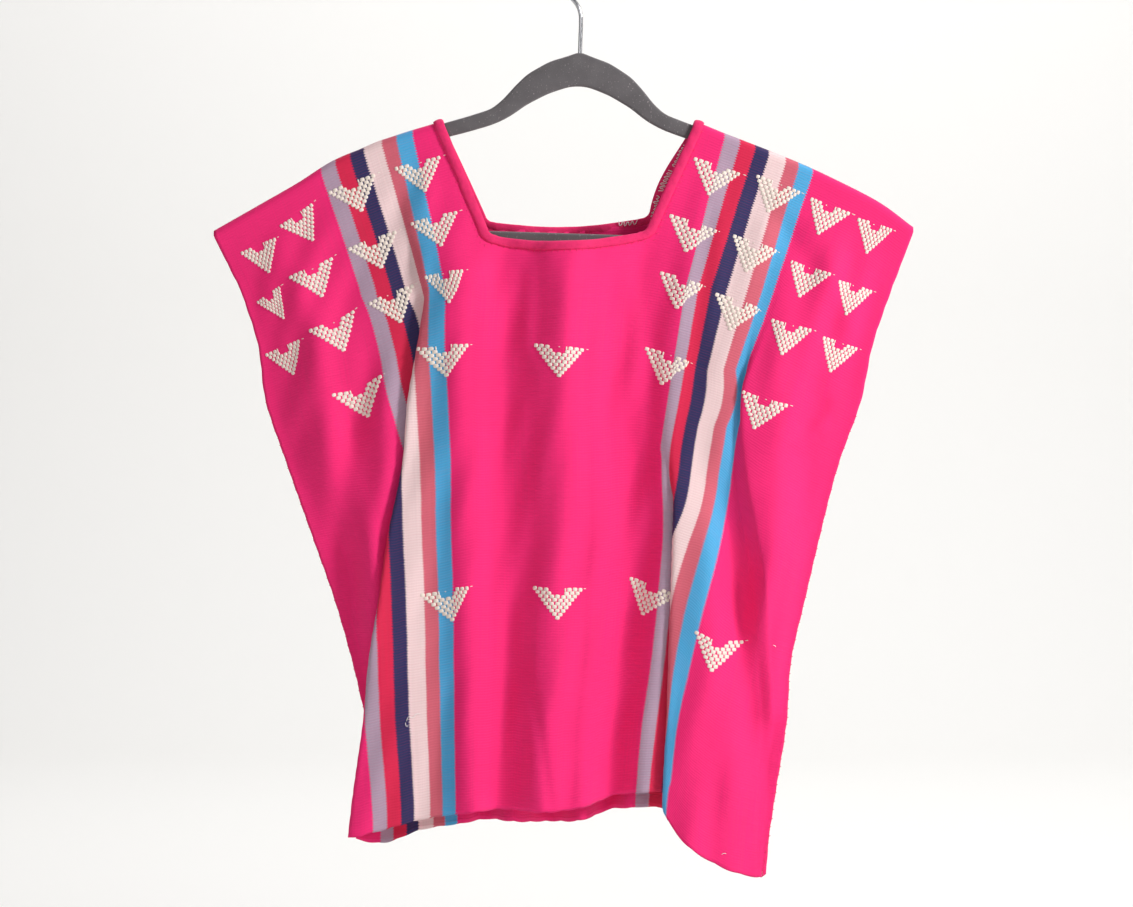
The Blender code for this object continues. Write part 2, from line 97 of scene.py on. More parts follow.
class Wire:
    """A node's output, which sums can be written with."""

    __add__, __radd__ = math_operator("ADD"), math_operator("ADD", turned=True)
    __sub__, __rsub__ = math_operator("SUBTRACT"), math_operator("SUBTRACT", turned=True)
    __mul__, __rmul__ = math_operator("MULTIPLY"), math_operator("MULTIPLY", turned=True)
    __truediv__, __pow__ = math_operator("DIVIDE"), math_operator("POWER")
    __gt__ = math_operator("GREATER_THAN")

    def __init__(self, graph: "Graph", socket: bpy.types.NodeSocket) -> None:
        """Keep the tree and the socket."""
        self.graph = graph
        self.socket = socket

    def other(self, name: Union[str, int]) -> "Wire":
        """Another output of the same node."""
        return Wire(self.graph, self.socket.node.outputs[name])

    def wave(self, length: float) -> "Wire":
        """A ripple from 0 to 1 with a crest every length."""
        turn = self * (2 * math.pi / length)
        return self.graph.add("ShaderNodeMath", {"operation": "SINE"}, {0: turn}) * 0.5 + 0.5

    def saw(self, length: float) -> "Wire":
        """A zigzag from 0 to 1 and back every length."""
        return self.graph.add("ShaderNodeMath", {"operation": "PINGPONG"}, {0: self, 1: length / 2}) / (length / 2)


Value = Union[Wire, float, int]


class Graph:
    """A node tree, shader or geometry, that nodes are added to by one method."""

    def __init__(self, tree: bpy.types.NodeTree) -> None:
        """Keep the tree, emptied."""
        self.tree = tree
        tree.nodes.clear()

    def add(
        self, kind: str, settings: dict | None = None, values: dict | None = None, out: Union[str, int] = 0,
    ) -> Wire:
        """Add one node.

        Args:
            kind: the node's type.
            settings: its settings; "stops" is a colour ramp's list of place and colour.
            values: a number, colour, vector or Wire for each input, by name or place.
            out: which output comes back.

        Returns:
            The output as a Wire.
        """
        node = self.tree.nodes.new(kind)
        for name, value in (settings or {}).items():
            if name == "stops":
                ramp = node.color_ramp
                while len(ramp.elements) < len(value):
                    ramp.elements.new(1.0)
                for element, (place, colour) in zip(ramp.elements, value):
                    element.position = place
                    element.color = colour
            elif name == "stop_style":
                node.color_ramp.interpolation = value
            else:
                setattr(node, name, value)
        for name, value in (values or {}).items():
            self.put(node.inputs[name], value)
        return Wire(self, node.outputs[out]) if len(node.outputs) else Wire(self, None)

    def put(self, socket: bpy.types.NodeSocket, value: object) -> None:
        """Link or set one input."""
        if isinstance(value, Wire):
            self.tree.links.new(value.socket, socket)
        else:
            socket.default_value = value

    def mix(self, share: Value, first: object, second: object, style: str = "MIX") -> Wire:
        """Two colours mixed by a share.

        Args:
            share: how much of the second.
            first: a colour or Wire.
            second: a colour or Wire.
            style: the Mix node's blend type.

        Returns:
            The mixed colour.
        """
        return self.add(
            "ShaderNodeMix", {"data_type": "RGBA", "blend_type": style, "clamp_factor": True},
            {0: share, 6: first, 7: second}, out=2,
        )

    def noise(self, place: Wire, scale: float, detail: float = 2.0, rough: float = 0.5) -> Wire:
        """Smooth noise, mostly between 0.3 and 0.7."""
        return self.add(
            "ShaderNodeTexNoise", {"noise_dimensions": "3D"},
            {"Vector": place, "Scale": scale, "Detail": detail, "Roughness": rough},
        )

    def join(self, x: Value, y: Value, z: Value) -> Wire:
        """Three numbers as a vector."""
        return self.add("ShaderNodeCombineXYZ", {}, {0: x, 1: y, 2: z})

    def toned(self, colour: object, tone: Wire) -> Wire:
        """A colour times a tone."""
        return self.mix(1.0, colour, self.join(tone, tone, tone), "MULTIPLY")

    def own_place(self) -> Wire:
        """The place on the object itself."""
        return self.add("ShaderNodeTexCoord", out="Object")


def srgb(red: int, green: int, blue: int) -> Colour:
    """A colour given in display values, as the light values that shaders take."""
    shares = (red / 255, green / 255, blue / 255)
    return (*[(c / 12.92 if c <= 0.0404 else ((c + 0.055) / 1.055) ** 2.4) for c in shares], 1.0)


# ---- Finishes ----


@dataclass(frozen=True)
class Finish:
    """A finish made as a Principled shader; each kind adds its own detail."""

    name: str
    colour: Colour
    roughness: float = 0.8
    metallic: float = 0.0
    sheen: float = 0.0
    sheen_tint: Colour = (1.0, 1.0, 1.0, 1.0)

    def make(self) -> bpy.types.Material:
        """Build the material once and hand it back after that."""
        known = bpy.data.materials.get(self.name)
        if known:
            return known
        material = bpy.data.materials.new(self.name)
        material.use_nodes = True
        material.diffuse_color = self.colour
        graph = Graph(material.node_tree)
        shader = graph.add(
            "ShaderNodeBsdfPrincipled", {},
            {"Base Color": self.colour, "Roughness": self.roughness, "Metallic": self.metallic,
             "Sheen Weight": self.sheen, "Sheen Roughness": 0.45, "Sheen Tint": self.sheen_tint},
        )
        graph.add("ShaderNodeOutputMaterial", {}, {"Surface": shader})
        self.dress(graph, shader.socket.node)
        return material

    def dress(self, graph: Graph, shader: bpy.types.Node) -> None:
        """Add what changes over the surface."""

    def bump(self, graph: Graph, shader: bpy.types.Node, height: Wire, strength: float, depth: float) -> None:
        """Feed a height to the shader's normal.

        Args:
            graph: the tree.
            shader: the Principled node.
            height: a height from 0 to 1.
            strength: the Bump node's strength.
            depth: how deep the relief is, in metres.
        """
        graph.put(shader.inputs["Normal"],
                  graph.add("ShaderNodeBump", {}, {"Strength": strength, "Distance": depth, "Height": height}))


@dataclass(frozen=True)
class WovenCotton(Finish):
    """The web: warp-striped cotton with fine weft ribs carrying painted shade, uneven dye and soft streaks along the
    threads.
    """

    # Dark crimson painted along the weft rows as shade of the ribs.
    painted_rib_shade: Colour = srgb(190, 12, 72)
    weft_pitch: float = 2.3
    warp_pitch: float = 0.95
    tooth_pitch: float = 2.3
    tooth: float = 1.9
    stripe_start_left: float = -203.0
    stripe_start_right: float = 120.0
    stripe_span: float = 83.0
    stripe_border: float = 10.0
    sway: float = 2.0
    fray: float = 1.2
    relief: float = 0.00045
    stripes: tuple = (
        (0.0, srgb(180, 154, 176)),
        (14.0, srgb(222, 24, 74)),
        (28.0, srgb(30, 38, 90)),
        (41.0, srgb(244, 214, 214)),
        (57.0, srgb(214, 98, 116)),
        (69.5, srgb(70, 172, 224)),
    )

    def dress(self, graph: Graph, shader: bpy.types.Node) -> None:
        """Stripes, ribs with painted shade along the weft rows, and uneven dye, all from lengths on the flat web."""
        place = graph.add("ShaderNodeUVMap", {"uv_map": "Web"})
        across = graph.add("ShaderNodeSeparateXYZ", {}, {0: place}) / MM
        down = graph.add("ShaderNodeSeparateXYZ", {}, {0: place}, out=1) / MM
        sway = (graph.noise(graph.join(across * 0.004, down * 0.02, 0.0), 1.0, 2.0) - 0.5) * self.sway
        tooth = (down.saw(self.tooth_pitch) - 0.5) * self.tooth
        fray = (graph.noise(graph.join(across * 0.3, down * 1.1, 3.0), 1.0, 1.0) - 0.5) * self.fray
        shift = self.stripe_start_right - self.stripe_start_left
        along = across - self.stripe_start_left - (across > 0.0) * shift + tooth + fray + sway
        border, span = self.stripe_border, self.stripe_span + 2 * self.stripe_border
        bands = [*self.stripes, (self.stripe_span, self.colour)]
        stops = [(0.0, self.colour)] + [((start + border) / span, colour) for start, colour in bands]
        striped = graph.add(
            "ShaderNodeValToRGB", {"stops": stops, "stop_style": "CONSTANT"}, {0: (along + border) / span},
        )
        weft, warp = down.wave(self.weft_pitch), across.wave(self.warp_pitch)
        slub = graph.noise(graph.join(across * 0.012, down * 0.9, 5.0), 1.0, 3.0)
        streak = graph.noise(graph.join(across * 0.8, down * 0.008, 9.0), 1.0, 3.0)
        cloud = graph.noise(graph.join(across * 0.008, down * 0.008, 2.0), 1.0, 3.0)
        # Painted shade: thin dark lines along the weft rows; the slub part is uneven yarn tone.
        rib_shade_and_slub = (weft ** 3.0) * 0.10 + (slub - 0.5) * 0.22
        thread = graph.mix(rib_shade_and_slub, striped, self.painted_rib_shade)
        tone = 0.80 + cloud * 0.14 + streak * 0.16 + slub * 0.10
        graph.put(shader.inputs["Base Color"], graph.toned(thread, tone))
        graph.put(shader.inputs["Roughness"], 0.72 + streak * 0.2)
        relief = weft * 0.45 + warp * 0.25 + slub * 0.6 + streak * 0.35
        self.bump(graph, shader, relief, 0.55, self.relief)


@dataclass(frozen=True)
class RolledCotton(Finish):
    """A strip of the ground cloth rolled and stitched down: crumpled, with a slanting weave and painted shade in its
    puckers.
    """

    def dress(self, graph: Graph, shader: bpy.types.Node) -> None:
        """Puckers with painted light and shade, and a fine slanting weave."""
        place = graph.own_place()
        pucker = graph.noise(place, 190.0, 3.0, 0.6)
        weave = graph.noise(place, 900.0, 2.0)
        # Painted light and shade: the pucker noise that makes the bump also lightens the crests and darkens the
        # hollows.
        tone = 0.72 + pucker * 0.42 + weave * 0.12
        graph.put(shader.inputs["Base Color"], graph.toned(self.colour, tone))
        self.bump(graph, shader, pucker * 0.8 + weave * 0.25, 0.8, 0.0009)


@dataclass(frozen=True)
class Yarn(Finish):
    """Soft spun thread, a little uneven, with a twist along it."""

    def dress(self, graph: Graph, shader: bpy.types.Node) -> None:
        """Twist and uneven tone."""
        place = graph.own_place()
        fibre = graph.noise(place, 1500.0, 2.0, 0.6)
        tone = 0.86 + fibre * 0.26
        graph.put(shader.inputs["Base Color"], graph.toned(self.colour, tone))
        self.bump(graph, shader, fibre, 0.6, 0.0003)


@dataclass(frozen=True)
class Flock(Finish):
    """Short grey velvet on plastic, rubbed in places, with bright lint."""

    def dress(self, graph: Graph, shader: bpy.types.Node) -> None:
        """Nap, rubbed patches and lint."""
        place = graph.own_place()
        nap = graph.noise(place, 1400.0, 2.0, 0.7)
        rubbed = graph.noise(place, 55.0, 3.0, 0.6)
        speck = graph.noise(place, 700.0, 1.0) > 0.70
        tone = 0.62 + rubbed * 0.5 + nap * 0.3
        napped = graph.toned(self.colour, tone)
        graph.put(shader.inputs["Base Color"], graph.mix(speck * 0.35, napped, srgb(215, 205, 205)))
        self.bump(graph, shader, nap * 0.7 + rubbed * 0.3, 0.7, 0.0006)


@dataclass(frozen=True)
class BrightWire(Finish):
    """Plated wire with faint draw marks."""

    def dress(self, graph: Graph, shader: bpy.types.Node) -> None:
        """Smudges in the polish."""
        place = graph.own_place()
        smudge = graph.noise(place, 260.0, 3.0, 0.6)
        graph.put(shader.inputs["Roughness"], 0.08 + smudge * 0.22)


PINK, SHEEN_PINK = srgb(250, 28, 118), srgb(255, 140, 190)
WEB = WovenCotton("woven cotton", PINK, 0.85, sheen=0.18, sheen_tint=SHEEN_PINK)
BINDING = RolledCotton("rolled cotton", srgb(236, 34, 106), 0.85, sheen=0.25, sheen_tint=SHEEN_PINK)
FLOAT_YARN = Yarn("white brocade yarn", srgb(244, 230, 218), 0.75, sheen=0.2)
SEAM_THREAD = Yarn("pink sewing thread", srgb(232, 40, 110), 0.7, sheen=0.15)
WHITE_THREAD = Yarn("white sewing thread", srgb(244, 238, 236), 0.7, sheen=0.15)
FLOCK = Flock("grey flock", srgb(100, 96, 98), 1.0, sheen=0.6, sheen_tint=srgb(205, 198, 202))
CHROME = BrightWire("bright wire", srgb(214, 214, 218), 0.14, 1.0)
PAPER = Finish("studio paper", srgb(246, 245, 243), 0.95)


# ---- Where the cloth and the hanger hang ----


def tabled(kind: type, *rows: Sequence[float]) -> list:
    """Rows of plain numbers as rows with named columns."""
    return [kind(*row) for row in rows]


class Shoulder(NamedTuple):
    """Where the fold on top of the shoulders lies, seen from the front."""

    across: float
    x: float
    drop: float


class Section(NamedTuple):
    """Where the warp threads hang at one height, and how deep the garment is there."""

    drop: float
    seam_left: float
    stripe_left: float
    neck_left: float
    neck_right: float
    stripe_right: float
    blue_right: float
    seam_right: float
    gape: float
    body: float
    bow: float


class Pleat(NamedTuple):
    """The front edge of a pleat's upper layer, how far it laps over the layer under it, and its step."""

    drop: float
    x: float
    across: float
    lap: float
    step: float


class Wave(NamedTuple):
    """A soft wave down the cloth: its crest, half width, and height near the neck and at the hem."""

    across_top: float
    across_hem: float
    half_width: float
    top: float
    hem: float


class Hem(NamedTuple):
    """The height of the hem at one thread."""

    across: float
    drop: float


class Arm(NamedTuple):
    """The top and underside of the hanger's arm."""

    x: float
    top: float
    under: float


class Crease(NamedTuple):
    """A soft ridge, or trough where the height is below nothing, between two places seen from the front."""

    x_a: float
    drop_a: float
    x_b: float
    drop_b: float
    width: float
    height: float


HALF_WEB, LENGTH = 311.0, 595.0
NECK_TOP_HALF, NECK_LEFT_CORNER, NECK_RIGHT_CORNER = 94.0, -72.0, 76.0
NECK_DEPTH = {Side.FRONT: 105.0, Side.BACK: 90.0}
NECK_SAG = {Side.FRONT: 6.5, Side.BACK: 4.0}
NECK_SLACK = {Side.FRONT: 0.0, Side.BACK: 5.2}
BINDING_WIDTH, BINDING_THICK = 8.0, 3.4
ROLL, ROLL_RISE, SEAM_DEPTH, BEND, FOLD_STEP = 4.6, 1.9, 0.85, 4.0, 4.0
BEND_SAMPLES, PLEAT_LEAN, PLEAT_LEAN_LAP = 9, 0.35, 30.0
TILT = math.radians(1.8)
CROWN_DROP, ARM_DEPTH, WIRE, HOOK_RADIUS = 68.4, 5.5, 3.6, 15.0

SHOULDER = tabled(
    Shoulder,
    (-311, -315.5, 223.2), (-256, -267.8, 196), (-228, -243.9, 182.3), (-192, -213.3, 163), (-146, -170.7, 146.5),
    (-120, -144.3, 137.5), (-94, -118.1, 130.5), (0, -9.8, 126), (94, 98.6, 129), (120, 124.1, 139),
    (160, 161.5, 153.5), (203, 200, 169.5), (228, 222.1, 180), (265, 256.3, 197.7), (311, 287, 220),
)
SECTIONS = tabled(
    Section,
    (275, -292.7, -115.3, -68.7, 43.3, 86, 165.3, 268.5, 6, 11, 13),
    (320, -278.4, -115.5, -73, 39, 77.8, 149.5, 253.2, 6, 13, 13),
    (370, -271.6, -112.7, -76, 37, 71.5, 139.5, 242.8, 4, 14, 11),
    (420, -254.9, -110.8, -75, 38, 70.3, 132.6, 224.8, 0.85, 15, 9),
    (490, -230.2, -109.9, -74, 38, 71.1, 120.1, 206.2, 0.85, 15, 7),
    (540, -212.6, -108.8, -74, 34, 66.6, 107.3, 194.4, 0.85, 15, 6),
    (595, -196.8, -107.9, -75, 30, 60.8, 94, 181.9, 0.85, 15, 6),
    (645, -184.8, -107.5, -76, 24, 53.3, 83, 178.4, 0.85, 15, 6),
    (705, -166, -106.6, -76, 20, 48, 76.6, 169, 0.85, 15, 6), (790, -136, -106, -76, 18, 46, 74, 155, 0.85, 15, 6),
)
ANCHORS = {
    "seam_left": -HALF_WEB, "stripe_left": -120.0, "neck_left": NECK_LEFT_CORNER,
    "neck_right": NECK_RIGHT_CORNER, "stripe_right": 120.0, "blue_right": 203.0, "seam_right": HALF_WEB,
}
PLEATS = {
    "left": tabled(
        Pleat,
        (262, -131, -137.5, -7, 3), (282, -133.5, -139.5, 1, 8), (320, -139.2, -144.5, 8, 8),
        (370, -147.9, -155, 13, 8), (420, -152, -162, 19, 8), (490, -165.7, -179, 29, 8), (540, -172.6, -188, 36, 8),
        (595, -181.5, -200, 42, 8), (645, -186.2, -207, 47, 8), (705, -194.6, -223, 52, 8), (790, -204, -238, 58, 8),
    ),
    "middle": tabled(
        Pleat,
        (275, 103, 138, -12, 0), (370, 86, 137, -9, 2), (410, 79, 137, -6, 4.5), (436, 79, 141, -2, 6.5),
        (458, 79.5, 147, 4, 8), (490, 78.4, 161, 10, 8), (540, 77, 174, 15, 8), (595, 75, 182, 17, 8),
        (645, 73.6, 186, 17, 8), (705, 70.4, 196, 18, 8), (790, 72, 200, 19, 8),
    ),
    "right": tabled(
        Pleat,
        (275, 172, 211, -14, 0), (318, 154, 208.5, -8, 4), (338, 145.5, 208, -2, 6.5), (357, 138.5, 208.5, 4, 8),
        (374, 137, 209, 4, 8), (392, 137, 209.5, 0, 8), (412, 139, 214, -6, 8), (440, 143, 224, -9, 8),
        (465, 147.5, 231, -9.5, 8), (490, 152, 238, -10, 8), (540, 160, 260, -11, 7), (595, 163, 279, -11, 5),
        (645, 166, 291, -10, 3), (705, 161, 298, -8, 0), (790, 154.5, 300, -3, 0),
    ),
}
RELAX = {"left": 75.0, "middle": 60.0, "right": 60.0}
PLEAT_SHIFT = {Side.FRONT: 0.0, Side.BACK: 5.0}
WAVES = {
    Side.FRONT: tabled(
        Wave,
        (-106, -104, 34, 8, 10), (-51, -54, 38, -5.5, -6.5), (5, 0, 36, 6.5, 7.5), (50, 42, 26, -3, -1),
        (80, 85, 44, -11, -16), (124, 128, 24, 2, 3), (-268, -282, 34, 2, 5), (-215, -262, 30, -1, -2),
        (170, 226, 26, 2, 6), (244, 262, 26, 2, 3),
    ),
    Side.BACK: tabled(
        Wave,
        (-96, -84, 32, 7, 11), (-44, -42, 34, -8, -12), (8, 4, 30, 8, 13), (50, 46, 26, -8, -12), (88, 84, 26, 7, 11),
        (122, 116, 20, -5, -8), (-262, -280, 34, 3, 4), (176, 226, 26, 3, 6), (-150, -152, 42, 0, 7),
        (248, 264, 28, 2, 3),
    ),
}
HEMS = {
    Side.FRONT: tabled(
        Hem,
        (-311, 722), (-275, 728), (-252, 737), (-234, 743), (-203, 739), (-162, 730), (-120, 723.5), (-60, 720),
        (10, 721), (60, 716), (90, 709), (116, 706), (172, 708), (196, 716), (206, 730), (218, 745), (238, 760),
        (258, 770), (285, 778.4), (311, 780.4),
    ),
    Side.BACK: tabled(
        Hem,
        (-311, 722), (-262, 736), (-228, 750), (-204, 753), (-162, 742), (-120, 736), (-60, 732), (10, 735),
        (60, 730), (100, 722), (150, 722), (200, 733), (254, 762), (311, 780.4),
    ),
}
ARMS = tabled(
    Arm,
    (0, 68.4, 98.5), (8, 72, 99), (26, 77.9, 105.5), (45, 89.5, 116), (56, 101, 124.5), (65, 112, 130),
    (75, 120.5, 134.5), (95, 127.5, 141), (118, 134.8, 147.5), (145, 143.8, 156.5), (172, 153.6, 166.5),
    (194, 164.2, 177.5),
)
BAR_TOP, BAR_BOTTOM = 225.5, 238.0
SIDE_OUTER = [(208.0, 173.0), (216.5, 180.0), (220.0, 188.0), (217.5, 206.0), (207.0, 226.0), (192.0, BAR_BOTTOM)]
SIDE_INNER = [(207.0, 188.0), (204.0, 204.0), (197.0, 217.0), (184.0, BAR_TOP)]

CREASES = {
    Side.FRONT: tabled(
        Crease,
        (-66, 262, -66, 440, 9, -1.3), (-84, 262, -86, 470, 8, 1), (-45, 250, -42, 330, 7, 1),
        (-60, 545, -74, 730, 9, -2.2), (-78, 600, -88, 735, 9, 1.6), (-41, 560, -36, 700, 11, 1),
        (-47, 600, -24, 715, 5, -1.1), (-12, 250, -6, 420, 12, 1.3), (24, 255, 28, 430, 9, -1.2),
        (46, 262, 44, 360, 8, 1.2), (64, 300, 60, 460, 9, -1.4), (-10, 600, 2, 720, 16, 1.4),
        (-150, 190, -205, 285, 12, -1.6), (-190, 180, -250, 300, 12, 1.5), (-262, 250, -238, 350, 12, -1.5),
        (-228, 300, -205, 470, 14, 1.7), (-182, 300, -176, 470, 10, -1.4), (-214, 480, -196, 600, 10, -1.2),
        (158, 190, 190, 250, 10, -1.5), (200, 200, 230, 300, 12, 1.6), (255, 260, 238, 350, 10, -1.3),
        (176, 250, 168, 400, 12, 1.4), (200, 330, 188, 470, 12, -1.6), (215, 372, 190, 388, 7, -1.2),
        (214, 392, 186, 404, 6, 1), (121, 430, 145, 640, 13, -7), (-165, 340, -178, 560, 13, 5),
        (-194, 350, -206, 540, 15, -6), (184, 430, 172, 600, 14, 3.6), (112, 560, 128, 700, 14, 2.4),
        (168, 640, 174, 700, 14, -4), (-130, 165, -136, 260, 8, 1.2), (122, 165, 112, 300, 8, 1.3),
    ),
    Side.BACK: tabled(
        Crease,
        (-60, 250, -52, 430, 10, -1.5), (-84, 270, -90, 460, 9, 1.3), (-14, 240, -6, 400, 12, 1.5),
        (30, 250, 36, 430, 9, -1.4), (52, 262, 56, 420, 8, 1.2), (-45, 560, -60, 720, 10, -2),
        (10, 560, 20, 715, 12, 1.8), (-228, 300, -205, 470, 14, 1.7), (-262, 250, -238, 350, 12, -1.5),
        (-182, 300, -170, 480, 10, -1.4), (200, 200, 226, 300, 12, 1.6), (196, 330, 186, 470, 12, -1.6),
        (184, 430, 170, 600, 12, 1.8), (144, 440, 158, 640, 9, -2.2), (112, 560, 126, 700, 14, 1.6),
    ),
}


def column(table: Sequence[NamedTuple], name: str) -> np.ndarray:
    """One column of a table."""
    return np.array([getattr(row, name) for row in table], float)


def smooth_curve(at: np.ndarray, known_at: np.ndarray, known: np.ndarray) -> np.ndarray:
    """A smooth curve through known values, level past its ends.

    Args:
        at: where to read it.
        known_at: the places of the known values, rising.
        known: the known values.

    Returns:
        The values.
    """
    at = np.clip(at, known_at[0], known_at[-1])
    slopes = np.gradient(known, known_at)
    low = np.clip(np.searchsorted(known_at, at) - 1, 0, len(known_at) - 2)
    span = known_at[low + 1] - known_at[low]
    t = (at - known_at[low]) / span
    return (
        known[low] * (1 + 2 * t) * (1 - t) ** 2
        + known[low + 1] * t * t * (3 - 2 * t)
        + span * (slopes[low] * t * (1 - t) ** 2 - slopes[low + 1] * t * t * (1 - t))
    )


def at_drop(table: Sequence[NamedTuple], name: str, drop: float) -> float:
    """A table's column read at a height."""
    return float(smooth_curve(np.asarray(drop, float), column(table, "drop"), column(table, name)))


def ease(t: np.ndarray) -> np.ndarray:
    """Nothing up to 0, whole from 1, and smooth between."""
    t = np.clip(t, 0.0, 1.0)
    return t * t * (3 - 2 * t)


def hump(t: np.ndarray) -> np.ndarray:
    """A soft crest: whole at 0, and nothing from 1 on at both sides."""
    return np.cos(np.clip(t, -1, 1) * math.pi / 2) ** 2


def bend_softly(across: np.ndarray, knots: Sequence[float], values: Sequence[float]) -> np.ndarray:
    """A line through knots whose corners are rounded, because cloth has no sharp bend."""
    offsets = np.linspace(-BEND, BEND, BEND_SAMPLES)
    weights = 1.0 - np.abs(offsets) / (BEND * 1.25)
    return np.average([np.interp(across + o, knots, values) for o in offsets], axis=0, weights=weights)


def pleat_marks(rows: Sequence[Pleat], drop: float) -> list[tuple[float, float, float]]:
    """The four bends of a pleat at a height: across, x and depth of each, from the under layer to the upper."""
    x, across = at_drop(rows, "x", drop), at_drop(rows, "across", drop)
    lap, step = at_drop(rows, "lap", drop), at_drop(rows, "step", drop)
    edge = across - FOLD_STEP / 2
    under = edge - abs(lap)
    tilt = step * min(max(-lap / PLEAT_LEAN_LAP, 0.0), PLEAT_LEAN)
    return [
        (under - FOLD_STEP, x + lap, 0.0), (under, x + lap, step / 2 - tilt),
        (edge, x, step / 2 + tilt), (edge + FOLD_STEP, x, step),
    ]


def tilted(x: float, drop: float) -> tuple[float, float]:
    """A point of the hanger, which hangs a little askew from its hook, as x and height."""
    return (x * math.cos(TILT) - drop * math.sin(TILT), -x * math.sin(TILT) - drop * math.cos(TILT))


def arm_line(x: np.ndarray) -> np.ndarray:
    """How far below the hook the top of the hanger is at a place along it; past its ends there is none."""
    top = [(row.x, row.top) for row in ARMS] + SIDE_OUTER[:3]
    points = [tilted(-at, drop) for at, drop in top[:0:-1]] + [tilted(at, drop) for at, drop in top]
    line_x, line_z = np.array(points).T
    return np.interp(x - CROWN_DROP * math.sin(TILT), line_x, -line_z, left=1000.0, right=1000.0)


# ---- The cloth ----


